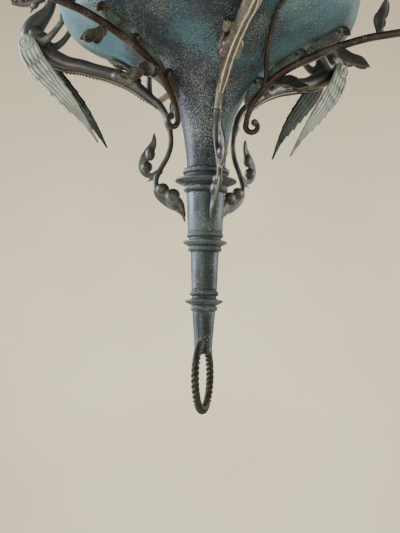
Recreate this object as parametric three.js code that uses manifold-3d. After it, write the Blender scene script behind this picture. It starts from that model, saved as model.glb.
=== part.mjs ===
// A bronze chandelier in the Gothic taste: a ringed stem that flares into a wide bowl, three
// winged dragons and three leafy branch arms around it, and a roped pull ring at the foot.
// Millimetres, +Z up. The origin is the centre of the eye from which the whole piece hangs.

import * as THREE from 'three';
import { mergeVertices } from 'three/addons/utils/BufferGeometryUtils.js';
import Module from 'manifold-3d';

const wasm = await Module();
wasm.setup();

// Air left between pieces that touch, and around the rod in its bores
const seatGap = 0.3;
const rodClearance = 0.3;

// How often each ornament repeats around the stem, and where the first of each stands
const repeats = 3;
const firstDragonAzimuth = 0;
const firstArmAzimuth = 60;
const ringAzimuth = -27;

// The dragon that has lost its two wings
const winglessDragon = 1;

// Pull ring and the foot of the stem
const ringOuterDiameter = 94;
const ringRopeDiameter = 10.6;
const ropeStrands = 3;
const ropeTurns = 13;
const ringBoreHeight = 12;
const ringBoreDiameter = 13.6;
const footDiameter = 23.6;
const footLength = 53;
const footBlindFloor = 27;

// Stem: the outside diameter at each end of the two tubes, and their lengths
const footTopDiameter = 29;
const middleStemBottomDiameter = 32;
const middleStemTopDiameter = 35.6;
const middleStemLength = 48;
const upperStemBottomDiameter = 44;
const upperStemTopDiameter = 48.4;
const upperStemLength = 50;

// Collars: height, then the diameters of the lower bead, the disc and the upper bead
const lowerCollar = { height: 27, lowerBead: 33.6, disc: 48.2, upperBead: 35.8 };
const middleCollar = { height: 25, lowerBead: 42.4, disc: 55.6, upperBead: 45.8 };
const upperCollar = { height: 32, lowerBead: 56, disc: 78.8, upperBead: 59.6 };

// Bowl: a trumpet that flares into a wide dish, spun from sheet, with a thick foot plate
const trumpetFootDiameter = 48.8;
const trumpetHeight = 116;
const trumpetTopDiameter = 133;
const bowlDiameter = 389;
const bowlHeight = 244;
const bowlWall = 3;
const bowlFootPlate = 8;
const bowlRimWidth = 6;

// Cover, column and hanging eye above the bowl
const coverRise = 58;
const coverWall = 3;
const columnHeight = 200;
const columnBaseDiameter = 66;
const columnSwellDiameter = 58;
const columnNeckDiameter = 26;
const columnTopDiameter = 40;
const tieRodDiameter = 8;
const nutAcrossFlats = 19;
const nutHeight = 10;
const eyeBossDiameter = 20;
const eyeBossHeight = 13;
const eyeDiameter = 46;
const eyeWireDiameter = 10;

// Branch arms
const armRodDiameter = 10;
const armScrollRodDiameter = 7.6;
const armScrollRise = 52;
const armScrollRadius = 9.5;
const armReach = 400;
const armTopDrop = 3;
const webThickness = 4;
const leafThickness = 2.4;
const conduitDiameter = 6;

// Candle pan and cup at the end of each arm
const panDiameter = 78;
const panDepth = 11;
const panWall = 2.4;
const panFloor = 4;
const cupDiameter = 27;
const cupBoreDiameter = 22.4;
const cupHeight = 40;
const cupFloor = 5;

// Dragons, their wings and the scrolled brackets under their tails
const chestDiameter = 32;
const bellyDiameter = 18.6;
const haunchDiameter = 18.4;
const tailDiameter = 8.4;
const neckDiameter = 15;
const pawDiameter = 10;
const hindPawSpread = 9;
const forePawSpread = 17;
const toothHeight = 2.8;
const toothCount = 12;
const crestWidth = 5.4;
const wingWidth = 29;
const wingThickness = 6;
const bracketRodDiameter = 7;
const bracketLeafThickness = 7;

// Facets around turned pieces, in threes so that all the ornaments meet them alike
const bowlFacets = 27;
const stemFacets = 15;
const smallFacets = 12;

// Shape of every collar: how far its necks draw in, and the shares of its height that each bead takes
const collarNeckInset = 2.4;
const collarShares = { lowerBead: [0.04, 0.27], disc: [0.33, 0.62], upperBead: [0.76, 0.96] };

// Heights along the axis, measured up from the foot of the stem
const lowerCollarBase = footLength + seatGap;
const middleStemBase = lowerCollarBase + lowerCollar.height + seatGap;
const middleCollarBase = middleStemBase + middleStemLength + seatGap;
const upperStemBase = middleCollarBase + middleCollar.height + seatGap;
const upperCollarBase = upperStemBase + upperStemLength + seatGap;
const bowlBase = upperCollarBase + upperCollar.height + seatGap;
const bowlRimHeight = bowlBase + bowlHeight;
const coverTop = bowlRimHeight + seatGap + coverRise;
const columnBase = coverTop + seatGap;
const columnTop = columnBase + columnHeight;
const nutBase = columnTop + seatGap;
const eyeBossBase = nutBase + nutHeight + seatGap;
const eyeRadius = (eyeDiameter - eyeWireDiameter) / 2;
const eyeSink = 1.5;
const eyeSocketRoof = 5;
const eyeCentreHeight = eyeBossBase + eyeBossHeight + eyeDiameter / 2 - eyeSink;
const rodRadius = tieRodDiameter / 2;
const rodBore = rodRadius + rodClearance;
const bowlRadius = bowlDiameter / 2;

const finish = (color, roughness, metalness = 0.75) =>
  new THREE.MeshStandardMaterial({ color, roughness, metalness });

const finishes = {
  stem: () => finish(0x4a4f52, 0.5),
  bowl: () => finish(0x47696a, 0.6),
  dragon: () => finish(0x4a4542, 0.45),
  wing: () => finish(0x7d857c, 0.6),
  arm: () => finish(0x45332d, 0.5),
  leaf: () => finish(0x54493f, 0.5),
  ring: () => finish(0x2e312f, 0.65),
};

// Solids and meshes

// A closed solid from a geometry, with shared corners merged and flat triangles left out.
function solidOf(geometry) {
  const bare = geometry.clone();
  bare.deleteAttribute('normal');
  bare.deleteAttribute('uv');
  const merged = mergeVertices(bare.index ? bare.toNonIndexed() : bare, 1e-4);
  const triangles = [];
  const index = merged.index.array;
  for (let i = 0; i < index.length; i += 3) {
    const [a, b, c] = index.slice(i, i + 3);
    if (a !== b && b !== c && c !== a) triangles.push(a, b, c);
  }
  return new wasm.Manifold(new wasm.Mesh({
    numProp: 3,
    vertProperties: new Float32Array(merged.attributes.position.array),
    triVerts: new Uint32Array(triangles),
  }));
}

function geometryOf(solid) {
  const mesh = solid.getMesh();
  const geometry = new THREE.BufferGeometry();
  geometry.setAttribute('position', new THREE.BufferAttribute(new Float32Array(mesh.vertProperties), 3));
  geometry.setIndex(new THREE.BufferAttribute(new Uint32Array(mesh.triVerts), 1));
  geometry.computeVertexNormals();
  return geometry;
}

const joined = (solids) => solids.reduce((whole, next) => whole.add(next));

// A body turned about the Z axis from an outline of [radius, height] points.
function turned(outline, facets, firstFacet = 0) {
  const profile = outline.map(([radius, height]) => new THREE.Vector2(Math.max(radius, 0), height));
  return solidOf(new THREE.LatheGeometry(profile, facets, firstFacet).rotateX(Math.PI / 2));
}

// The first facet of a turned body that cuts an ornament, as the ornament's own plane sees it
const ornamentFacet = Math.PI / 2;

// A closed skin over rings of points; a looped skin joins its last ring to its first.
function skinned(rings, looped = false) {
  const sides = rings[0].length;
  const points = rings.flat();
  const faces = [];
  const spans = looped ? rings.length : rings.length - 1;
  for (let ring = 0; ring < spans; ring += 1) {
    const here = ring * sides;
    const there = ((ring + 1) % rings.length) * sides;
    for (let side = 0; side < sides; side += 1) {
      const next = (side + 1) % sides;
      faces.push(here + side, here + next, there + side);
      faces.push(here + next, there + next, there + side);
    }
  }
  if (!looped) {
    const last = (rings.length - 1) * sides;
    for (let side = 1; side < sides - 1; side += 1) {
      faces.push(0, side + 1, side);
      faces.push(last, last + side, last + side + 1);
    }
  }
  const geometry = new THREE.BufferGeometry().setFromPoints(points);
  geometry.setIndex(faces);
  return solidOf(geometry);
}

// A round limb along a smooth curve through stations of [out, aside, up, radius].
function limb(stations, sides, stepsPerSpan, swell = 0) {
  const path = new THREE.CatmullRomCurve3(stations.map(([x, y, z]) => new THREE.Vector3(x, y, z)));
  const girth = new THREE.CatmullRomCurve3(stations.map(([, , , radius], i) => new THREE.Vector3(i, radius, 0)));
  const count = (stations.length - 1) * stepsPerSpan;
  const rings = [];
  for (let step = 0; step <= count; step += 1) {
    const along = step / count;
    const centre = path.getPoint(along);
    const tangent = path.getTangent(along);
    const aside = new THREE.Vector3(0, 1, 0);
    aside.addScaledVector(tangent, -tangent.y).normalize();
    const up = new THREE.Vector3().crossVectors(tangent, aside);
    const radius = girth.getPoint(along).y + swell;
    const ring = [];
    for (let side = 0; side < sides; side += 1) {
      const angle = ((side + 0.5) / sides) * Math.PI * 2;
      ring.push(centre.clone()
        .addScaledVector(aside, Math.cos(angle) * radius)
        .addScaledVector(up, Math.sin(angle) * radius));
    }
    rings.push(ring);
  }
  return skinned(rings);
}

// A plate with its outline in the upright plane of its ornament, centred on that plane.
function plate(shape, thickness, curveSegments) {
  const geometry = new THREE.ExtrudeGeometry(shape, { depth: thickness, curveSegments, bevelEnabled: false });
  geometry.translate(0, 0, -thickness / 2);
  return solidOf(geometry.rotateX(Math.PI / 2));
}

const ball = (x, y, z, radius) =>
  solidOf(new THREE.SphereGeometry(radius, 6, 4).rotateX(Math.PI / 2).translate(x, y, z));

// Points of a rounded bead on a turned outline, from its lower edge to its upper edge.
function bead(innerRadius, outerRadius, bottom, top, steps) {
  const points = [];
  for (let step = 0; step <= steps; step += 1) {
    const angle = (step / steps - 0.5) * Math.PI;
    points.push([
      innerRadius + (outerRadius - innerRadius) * Math.cos(angle),
      (bottom + top) / 2 + ((top - bottom) / 2) * Math.sin(angle),
    ]);
  }
  return points;
}

// The whole piece hangs from the eye, so everything measured from the stem's foot moves down.
const chandelier = new THREE.Group();
const fromFoot = new THREE.Group();
fromFoot.position.z = -eyeCentreHeight;
chandelier.add(fromFoot);

function addPiece(name, solid, material, azimuth = null) {
  const mesh = new THREE.Mesh(geometryOf(solid), material);
  mesh.name = name;
  if (azimuth !== null) mesh.rotation.z = THREE.MathUtils.degToRad(azimuth - 90);
  fromFoot.add(mesh);
  return mesh;
}

// Bowl outline: trumpet first, then the dish, as one smooth curve

const bowlCurve = new THREE.SplineCurve([
  [trumpetFootDiameter / 2, 0],
  [trumpetFootDiameter / 2 + 2.2, trumpetHeight * 0.2],
  [trumpetFootDiameter / 2 + 13, trumpetHeight * 0.62],
  [trumpetTopDiameter / 2, trumpetHeight],
  [bowlRadius * 0.6, bowlHeight * 0.6],
  [bowlRadius * 0.91, bowlHeight * 0.715],
  [bowlRadius, bowlHeight * 0.88],
  [bowlRadius - 3, bowlHeight - bowlRimWidth],
].map(([radius, height]) => new THREE.Vector2(radius, bowlBase + height)));

const bowlOutline = bowlCurve.getPoints(10);

// Height of the bowl's outside at a radius, and its radius at a height.
function bowlHeightAt(radius) {
  const upper = bowlOutline.findIndex((point) => point.x >= radius);
  const above = bowlOutline[Math.max(upper, 1)];
  const below = bowlOutline[Math.max(upper, 1) - 1];
  return THREE.MathUtils.mapLinear(radius, below.x, above.x, below.y, above.y);
}

function bowlRadiusAt(height) {
  const upper = bowlOutline.findIndex((point) => point.y >= height);
  const above = bowlOutline[Math.max(upper, 1)];
  const below = bowlOutline[Math.max(upper, 1) - 1];
  return THREE.MathUtils.mapLinear(height, below.y, above.y, below.x, above.x);
}

// An outline that runs up an outside, moved out by a distance, or in by a negative one.
function beside(outline, distance) {
  return outline.map((point, i) => {
    const before = outline[Math.max(i - 1, 0)];
    const after = outline[Math.min(i + 1, outline.length - 1)];
    const along = after.clone().sub(before).normalize();
    return [point.x + along.y * distance, point.y - along.x * distance];
  });
}

// The outside of the bowl pushed out by a gap, as a solid that cuts whatever leans on it.
function bowlSpace(gap) {
  const outside = beside(bowlOutline, gap);
  const top = outside[outside.length - 1];
  return turned([[0, outside[0][1]], ...outside, [0, top[1]]], bowlFacets, ornamentFacet);
}

// Turned stem

function collar(size, base, tubeBelow, tubeAbove) {
  const { height, lowerBead, disc, upperBead } = size;
  const lowerNeck = lowerBead / 2 - collarNeckInset;
  const upperNeck = upperBead / 2 - collarNeckInset;
  const heights = (shares) => shares.map((share) => base + height * share);
  return turned([
    [rodBore, base],
    [tubeBelow / 2, base],
    ...bead(lowerNeck, lowerBead / 2, ...heights(collarShares.lowerBead), 3),
    ...bead(upperNeck, disc / 2, ...heights(collarShares.disc), 3),
    ...bead(upperNeck, upperBead / 2, ...heights(collarShares.upperBead), 3),
    [tubeAbove / 2, base + height],
    [rodBore, base + height],
    [rodBore, base],
  ], stemFacets);
}

function stemTube(base, length, bottomDiameter, topDiameter) {
  return turned([
    [rodBore, base],
    [bottomDiameter / 2, base],
    [topDiameter / 2, base + length],
    [rodBore, base + length],
    [rodBore, base],
  ], stemFacets);
}

function stemFoot() {
  const waist = footDiameter / 2 - 0.7;
  const body = turned([
    [0, 0],
    [footDiameter / 2 - 1, 0],
    [footDiameter / 2, 1.2],
    [footDiameter / 2, 3],
    [waist, 7],
    [footTopDiameter / 2, footLength],
    [rodBore, footLength],
    [rodBore, footBlindFloor - rodClearance],
    [0, footBlindFloor - rodClearance],
  ], stemFacets);
  const bore = new THREE.CylinderGeometry(ringBoreDiameter / 2, ringBoreDiameter / 2, footDiameter * 2, 12);
  bore.rotateZ(Math.PI / 2);
  bore.translate(0, 0, ringBoreHeight);
  return body.subtract(solidOf(bore));
}

// Roped ring, hung through the bore: strands wind round the ring's own circle.
function pullRing() {
  const ropeRadius = ringRopeDiameter / 2;
  const ringRadius = ringOuterDiameter / 2 - ropeRadius;
  const boreReach = footDiameter / 2;
  const sagInBore = ringRadius - Math.sqrt(ringRadius ** 2 - boreReach ** 2);
  const centreHeight = ringBoreHeight + sagInBore / 2 - ringRadius;
  const sides = ropeStrands * 2;
  const valley = ropeRadius * 0.8;
  const steps = ropeTurns * 4;
  const rings = [];
  for (let step = 0; step < steps; step += 1) {
    const around = (step / steps) * Math.PI * 2;
    const outward = new THREE.Vector3(Math.sin(around), 0, Math.cos(around));
    const aside = new THREE.Vector3(0, 1, 0);
    const centre = outward.clone().multiplyScalar(ringRadius);
    centre.z += centreHeight;
    const ring = [];
    for (let side = 0; side < sides; side += 1) {
      const angle = (side / sides) * Math.PI * 2 + ropeTurns * around;
      const radius = side % 2 === 0 ? ropeRadius : valley;
      ring.push(centre.clone()
        .addScaledVector(outward, Math.cos(angle) * radius)
        .addScaledVector(aside, -Math.sin(angle) * radius));
    }
    rings.push(ring);
  }
  return skinned(rings, true);
}

addPiece('stem_foot', stemFoot(), finishes.stem(), ringAzimuth);
addPiece('pull_ring', pullRing(), finishes.ring(), ringAzimuth);
addPiece('lower_collar', collar(lowerCollar, lowerCollarBase, footTopDiameter, middleStemBottomDiameter),
  finishes.stem());
addPiece('middle_stem', stemTube(middleStemBase, middleStemLength, middleStemBottomDiameter,
  middleStemTopDiameter), finishes.stem());
addPiece('middle_collar', collar(middleCollar, middleCollarBase, middleStemTopDiameter,
  upperStemBottomDiameter), finishes.stem());
addPiece('upper_stem', stemTube(upperStemBase, upperStemLength, upperStemBottomDiameter,
  upperStemTopDiameter), finishes.stem());
addPiece('upper_collar', collar(upperCollar, upperCollarBase, upperStemTopDiameter, trumpetFootDiameter),
  finishes.stem());

// Bowl, cover, column, rod, nut and eye

function bowl() {
  const floor = bowlBase + bowlFootPlate;
  const inside = beside(bowlOutline, -bowlWall).filter(([, height]) => height > floor + 1).reverse();
  const rimTop = bowlRimHeight;
  return turned([
    [rodBore, bowlBase],
    ...bowlOutline.map((point) => [point.x, point.y]),
    [bowlRadius + 1, rimTop - bowlRimWidth * 0.5],
    [bowlRadius - 1, rimTop],
    [bowlRadius - bowlRimWidth, rimTop],
    ...inside,
    [trumpetFootDiameter / 2 - bowlWall, floor],
    [rodBore, floor],
    [rodBore, bowlBase],
  ], bowlFacets);
}

function bowlCover() {
  const base = bowlRimHeight + seatGap;
  const edge = bowlRadius + 2;
  const crown = columnBaseDiameter / 2 + 4;
  const ogee = new THREE.CubicBezierCurve(
    new THREE.Vector2(edge - 8, base + 6),
    new THREE.Vector2(edge * 0.72, base + coverRise * 0.55),
    new THREE.Vector2(edge * 0.5, base + coverRise * 0.3),
    new THREE.Vector2(crown, coverTop - 4),
  );
  const crownOutline = ogee.getPoints(4).reverse();
  const outside = crownOutline.map((point) => [point.x, point.y]).reverse();
  const inside = crownOutline.map((point) => [point.x, point.y - coverWall]).slice(0, -1);
  return turned([
    [edge, base],
    [edge, base + 4],
    ...outside,
    [crown - 2, coverTop],
    [rodBore, coverTop],
    [rodBore, coverTop - 4 - coverWall],
    ...inside,
    [edge - 12, base],
    [edge, base],
  ], bowlFacets);
}

function column() {
  const swell = new THREE.SplineCurve([
    [columnBaseDiameter / 2 - 12, 0.09],
    [columnSwellDiameter / 2, 0.3],
    [columnSwellDiameter / 2 - 5, 0.48],
    [columnNeckDiameter / 2, 0.8],
    [columnNeckDiameter / 2 + 1, 0.87],
  ].map(([radius, part]) => new THREE.Vector2(radius, columnBase + columnHeight * part)));
  return turned([
    [rodBore, columnBase],
    [columnBaseDiameter / 2, columnBase],
    ...bead(columnBaseDiameter / 2 - 6, columnBaseDiameter / 2, columnBase + 3, columnBase + 13, 3),
    ...swell.getPoints(5).map((point) => [point.x, point.y]),
    ...bead(columnNeckDiameter / 2, columnTopDiameter / 2, columnTop - 20, columnTop - 8, 2),
    [columnNeckDiameter / 2, columnTop],
    [rodBore, columnTop],
    [rodBore, columnBase],
  ], stemFacets);
}

function tieRod() {
  const bottom = footBlindFloor;
  const top = eyeBossBase + eyeBossHeight - eyeSocketRoof;
  return turned([[0, bottom], [rodRadius, bottom], [rodRadius, top], [0, top]], 8);
}

function lockNut() {
  const across = nutAcrossFlats / 2 / Math.cos(Math.PI / 6);
  const hexagon = turned([[0, nutBase], [across, nutBase], [across, nutBase + nutHeight],
    [0, nutBase + nutHeight]], 6);
  const bore = turned([[0, nutBase - 1], [rodBore, nutBase - 1], [rodBore, nutBase + nutHeight + 1],
    [0, nutBase + nutHeight + 1]], smallFacets);
  return hexagon.subtract(bore);
}

function hangingEye() {
  const top = eyeBossBase + eyeBossHeight;
  const socketTop = top - eyeSocketRoof + rodClearance;
  const boss = turned([
    [rodBore, eyeBossBase],
    [eyeBossDiameter / 2, eyeBossBase],
    [eyeBossDiameter / 2, top - 4],
    [eyeBossDiameter / 2 - 3, top],
    [0, top],
    [0, socketTop],
    [rodBore, socketTop],
    [rodBore, eyeBossBase],
  ], smallFacets);
  const ring = new THREE.TorusGeometry(eyeRadius, eyeWireDiameter / 2, 6, 15);
  ring.rotateX(Math.PI / 2);
  ring.translate(0, 0, eyeCentreHeight);
  return boss.add(solidOf(ring));
}

addPiece('bowl', bowl(), finishes.bowl());
addPiece('bowl_cover', bowlCover(), finishes.bowl());
addPiece('column', column(), finishes.stem());
addPiece('tie_rod', tieRod(), finishes.stem());
addPiece('lock_nut', lockNut(), finishes.stem());
addPiece('hanging_eye', hangingEye(), finishes.stem());

// Dragons: each is one casting in the upright plane of its own azimuth

// A point under the dish, at a share of its radius and a drop below its surface.
function underBowl(share, drop) {
  const radius = share * bowlRadius;
  return [radius, 0, bowlHeightAt(radius) - drop];
}

// A point beside the trumpet, at a height above the bowl's foot, or beside the rim, at a rise above its edge.
const besideTrumpet = (height, standOff) =>
  [bowlRadiusAt(bowlBase + height) + standOff, 0, bowlBase + height];
const besideRim = (rise, standOff) => [bowlRadius + standOff, 0, bowlRimHeight + rise];

const tailTip = besideTrumpet(61, 17);
const spine = [
  [...tailTip, tailDiameter / 2],
  [...besideTrumpet(72, 17.5), tailDiameter / 2 + 0.2],
  [...besideTrumpet(85.5, 19.5), tailDiameter / 2 + 0.9],
  [...underBowl(0.41, 26), tailDiameter / 2 + 1.9],
  [...underBowl(0.483, 23.5), haunchDiameter / 2 - 2.1],
  [...underBowl(0.555, 21), haunchDiameter / 2 - 1],
  [...underBowl(0.627, 20.5), haunchDiameter / 2],
  [...underBowl(0.71, 22), haunchDiameter / 2 - 0.6],
  [...underBowl(0.8, 24.5), bellyDiameter / 2 - 0.6],
  [...underBowl(0.9, 29), bellyDiameter / 2],
  [...besideRim(-93.5, 1), bellyDiameter / 2 + 1],
  [...besideRim(-86, 17.5), chestDiameter / 2 - 4.6],
  [...besideRim(-77, 35.5), chestDiameter / 2 - 3],
  [...besideRim(-65, 50.5), chestDiameter / 2 - 0.5],
  [...besideRim(-52, 56), chestDiameter / 2],
  [...besideRim(-38, 51.5), chestDiameter / 2 - 1.5],
  [...besideRim(-27, 41.5), chestDiameter / 2 - 4.5],
  [...besideRim(-18, 33), neckDiameter / 2 + 1],
  [...besideRim(-7, 29), neckDiameter / 2],
  [...besideRim(4, 31), neckDiameter / 2 + 0.8],
  [...besideRim(13, 39), neckDiameter / 2 + 3],
  [...besideRim(15.5, 52), neckDiameter / 2 + 3.2],
  [...besideRim(13, 66), neckDiameter / 2 + 0.6],
  [...besideRim(9, 79), neckDiameter / 2 - 1.4],
  [...besideRim(6, 91), 4.4],
];
const crestStart = 2;
const crestEnd = 9;

// Saw-toothed strip along the under side of the tail and belly.
function crest() {
  const path = new THREE.CatmullRomCurve3(spine.map(([x, y, z]) => new THREE.Vector3(x, y, z)));
  const girth = new THREE.CatmullRomCurve3(spine.map(([, , , radius], i) => new THREE.Vector3(i, radius, 0)));
  const shape = new THREE.Shape();
  const beneath = (part, extra) => {
    const along = part / (spine.length - 1);
    const centre = path.getPoint(along);
    const tangent = path.getTangent(along);
    const reach = girth.getPoint(along).y + extra;
    return new THREE.Vector2(centre.x + tangent.z * reach, centre.z - tangent.x * reach);
  };
  const outer = [];
  const inner = [];
  for (let tooth = 0; tooth <= toothCount; tooth += 1) {
    const part = THREE.MathUtils.lerp(crestStart, crestEnd, tooth / toothCount);
    const half = (crestEnd - crestStart) / toothCount / 2;
    outer.push(beneath(part, 0.2));
    if (tooth < toothCount) outer.push(beneath(part + half, toothHeight));
    if (tooth % 4 === 0) inner.push(beneath(part, -2.4));
  }
  shape.setFromPoints([...outer, ...inner.reverse()]);
  return plate(shape, crestWidth, 1);
}

function head() {
  const jaw = limb([
    [...besideRim(3, 36), 6],
    [...besideRim(-4, 56), 5.6],
    [...besideRim(-5, 72), 5],
    [...besideRim(-1, 86), 3],
  ], 6, 1);
  const beardLobes = [[52, -6, 7], [72, -2, 6.6]].map(([standOff, rise, radius]) => {
    const [x, y, z] = besideRim(rise, standOff);
    return ball(x, y, z, radius);
  });
  const horns = [1, -1].map((hand) => limb([
    [...besideRim(18, 50), 4.2],
    [...besideRim(29, 38), 3.2],
    [...besideRim(36, 22), 1.2],
  ].map(([x, , z, radius], i) => [x, hand * (6 + 3 * i), z, radius]), 5, 1));
  return joined([jaw, ...beardLobes, ...horns]);
}

function hindLeg(hand, swell = 0) {
  const [pawOut, , pawUp] = underBowl(0.627, 1.6);
  const aside = hand * hindPawSpread;
  return limb([
    [pawOut - 4, aside * 0.5, pawUp - 21, haunchDiameter / 2 - 1],
    [pawOut - 17, aside * 0.9, pawUp - 28, 6],
    [pawOut - 24, aside * 1.05, pawUp - 24, 4.4],
    [pawOut - 19, aside * 1.05, pawUp - 15, 3.7],
    [pawOut - 9, aside, pawUp - 6.5, 3.7],
    [pawOut, aside, pawUp - 1, pawDiameter / 2],
    [pawOut + 8, aside, pawUp + 3, pawDiameter / 2 - 1],
  ], 5, 1, swell);
}

function foreleg(hand, swell = 0) {
  const [pawOut, , pawUp] = besideRim(-40, 3);
  const aside = hand * forePawSpread;
  return limb([
    [pawOut + 44, aside * 0.5, pawUp - 15, 8.5],
    [pawOut + 27, aside * 0.85, pawUp - 24, 6.4],
    [pawOut + 16, aside, pawUp - 18, 5],
    [pawOut + 7, aside, pawUp - 8, 4.4],
    [pawOut + 1, aside, pawUp, pawDiameter / 2],
    [pawOut - 2, aside, pawUp + 7, pawDiameter / 2 - 1],
  ], 5, 1, swell);
}

const dragonSides = 6;

// Spine and legs of a dragon; swollen by a gap, they cut the pieces that seat on the casting.
function dragonFrame(swell) {
  const legs = [1, -1].flatMap((hand) => [hindLeg(hand, swell), foreleg(hand, swell)]);
  return joined([limb(spine, dragonSides, 1, swell), ...legs]);
}

const bowlClearance = bowlSpace(seatGap);
const dragonSpace = dragonFrame(seatGap);
const dragon = joined([dragonFrame(0), crest(), head()]).subtract(bowlClearance);

// Wings: a ridged blade that hangs from a round shoulder on the flank, inwards to a thin tip
function wing(hand) {
  const [x, , z] = besideRim(-66, 53);
  const flank = chestDiameter / 2 + 2;
  const stations = [
    [x + 1, flank, z + 6, 0.7],
    [x - 3, flank + 2.5, z - 9, 1],
    [x - 16, flank + 4, z - 31, 1],
    [x - 35, flank + 5, z - 53, 0.94],
    [x - 61, flank + 5, z - 82, 0.72],
    [x - 86, flank + 2.6, z - 112, 0.32],
    [x - 105, flank - 1, z - 141, 0.06],
  ];
  const path = new THREE.CatmullRomCurve3(stations.map(([a, b, c]) => new THREE.Vector3(a, b, c)));
  const rings = stations.map(([, , , share], i) => {
    const along = i / (stations.length - 1);
    const centre = path.getPoint(along);
    const tangent = path.getTangent(along).setY(0).normalize();
    const across = new THREE.Vector3(-tangent.z, 0, tangent.x);
    const half = (wingWidth / 2) * share;
    const thick = (wingThickness / 2) * (0.35 + 0.65 * share);
    const section = [[-1, 0], [-0.45, 1], [-0.15, 0.45], [0.25, 1], [0.6, 0.4], [1, 0], [0.4, -0.8], [-0.4, -0.8]];
    const ring = section.map(([u, v]) => centre.clone()
      .addScaledVector(across, u * half)
      .add(new THREE.Vector3(0, v * thick, 0)));
    return hand > 0 ? ring : ring.map((point) => point.setY(-point.y)).reverse();
  });
  const eye = new THREE.CylinderGeometry(wingWidth * 0.26, wingWidth * 0.42, wingThickness * 1.6, 6);
  if (hand < 0) eye.rotateX(Math.PI);
  eye.translate(x + 1, hand * (flank + 1), z);
  return skinned(rings).add(solidOf(eye)).subtract(dragonSpace);
}

// Scrolled bracket under the tail: an S rod that carries a side leaf, a spur and a lower leaf
const collarHeightAt = (share) => upperCollarBase + upperCollar.height * share;
const stemSpace = turned([
  [0, middleCollarBase],
  [middleCollar.disc / 2 + seatGap, middleCollarBase],
  [middleCollar.disc / 2 + seatGap, upperStemBase],
  [upperStemBottomDiameter / 2 + seatGap, upperStemBase],
  [upperStemTopDiameter / 2 + seatGap, upperCollarBase],
  [upperCollar.lowerBead / 2 + seatGap, upperCollarBase],
  [upperCollar.lowerBead / 2 + seatGap, collarHeightAt(collarShares.lowerBead[1])],
  [upperCollar.disc / 2 + seatGap, collarHeightAt(collarShares.disc[0])],
  [upperCollar.disc / 2 + seatGap, collarHeightAt(collarShares.disc[1])],
  [0, collarHeightAt(collarShares.disc[1])],
], stemFacets, ornamentFacet);

// Lower leaf, from the end of the S rod: two round lobes, then a tip that nears the stem.
function lowerLeaf(x, z) {
  const shape = new THREE.Shape();
  shape.moveTo(x + 3.5, z + 2);
  shape.absarc(x - 8, z + 1.5, 8, Math.PI * 0.1, Math.PI * 0.88);
  shape.lineTo(x - 17, z - 2);
  shape.absarc(x - 25.5, z - 8, 7, Math.PI * 0.34, Math.PI * 1.18);
  shape.quadraticCurveTo(x - 36, z - 17, x - 41, z - 27);
  shape.lineTo(x - 39, z - 41.4);
  shape.quadraticCurveTo(x - 35, z - 31, x - 25, z - 27);
  shape.quadraticCurveTo(x, z - 18, x + 3.5, z + 2);
  return joined([
    plate(shape, bracketLeafThickness * 0.6, 2),
    ball(x - 8, 0, z + 1.5, bracketLeafThickness * 0.75),
    ball(x - 25.5, 0, z - 8, bracketLeafThickness * 0.7),
  ]);
}

// Side leaf, from the branching point of the S rod: a thin stalk, a berry, a lobe and a tip.
function sideLeaf(x, z) {
  const shape = new THREE.Shape();
  shape.moveTo(x + 3, z - 5);
  shape.quadraticCurveTo(x + 17, z - 16, x + 27.5, z - 2);
  shape.quadraticCurveTo(x + 34, z + 10, x + 23.7, z + 22);
  shape.quadraticCurveTo(x + 15, z + 32, x + 10.3, z + 48);
  shape.quadraticCurveTo(x + 2, z + 39, x + 6.5, z + 28);
  shape.quadraticCurveTo(x - 2.5, z + 20, x + 6.2, z + 14);
  shape.lineTo(x + 13, z + 13.4);
  shape.absarc(x + 21.5, z + 7, 6.2, Math.PI * 0.83, Math.PI * 1.39);
  shape.quadraticCurveTo(x + 13, z - 5, x + 5, z + 2);
  return joined([
    plate(shape, bracketLeafThickness * 0.6, 2),
    ball(x + 21.5, 0, z + 7, bracketLeafThickness * 0.75),
  ]);
}

function bracket() {
  const [tipOut, , tipUp] = tailTip;
  const rod = bracketRodDiameter / 2;
  const stations = [
    [tipOut + 1.5, 0, tipUp + 5, rod + 2.2],
    [tipOut - 1, 0, tipUp - 4, rod + 1.4],
    [tipOut - 3, 0, tipUp - 12, rod],
    [tipOut - 4, 0, tipUp - 28, rod],
    [tipOut + 0.5, 0, tipUp - 44, rod],
    [tipOut + 9, 0, tipUp - 59, rod],
    [tipOut + 15, 0, tipUp - 73, rod],
    [tipOut + 14, 0, tipUp - 86, rod],
  ];
  const [endOut, , endUp] = stations[stations.length - 1];
  const [branchOut, , branchUp] = stations[5];
  const spur = new THREE.Shape([
    new THREE.Vector2(branchOut, branchUp - 4),
    new THREE.Vector2(branchOut + 20, branchUp - 17),
    new THREE.Vector2(branchOut + 7, branchUp - 22),
  ]);
  return joined([
    limb(stations, 6, 1),
    lowerLeaf(endOut, endUp),
    sideLeaf(branchOut, branchUp),
    plate(spur, bracketLeafThickness * 0.5, 1),
  ]).subtract(dragonSpace).subtract(stemSpace);
}

const bracketSolid = bracket();
const wings = { left: wing(1), right: wing(-1) };

for (let i = 0; i < repeats; i += 1) {
  const azimuth = firstDragonAzimuth + (i * 360) / repeats;
  addPiece(`dragon_${i + 1}`, dragon, finishes.dragon(), azimuth);
  addPiece(`bracket_${i + 1}`, bracketSolid, finishes.leaf(), azimuth);
  if (i + 1 === winglessDragon) continue;
  for (const [hand, solid] of Object.entries(wings)) {
    addPiece(`wing_${i + 1}_${hand}`, solid, finishes.wing(), azimuth);
  }
}

// Branch arms: a rod that starts in a scroll beside the trumpet and runs out under the dish

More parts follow.
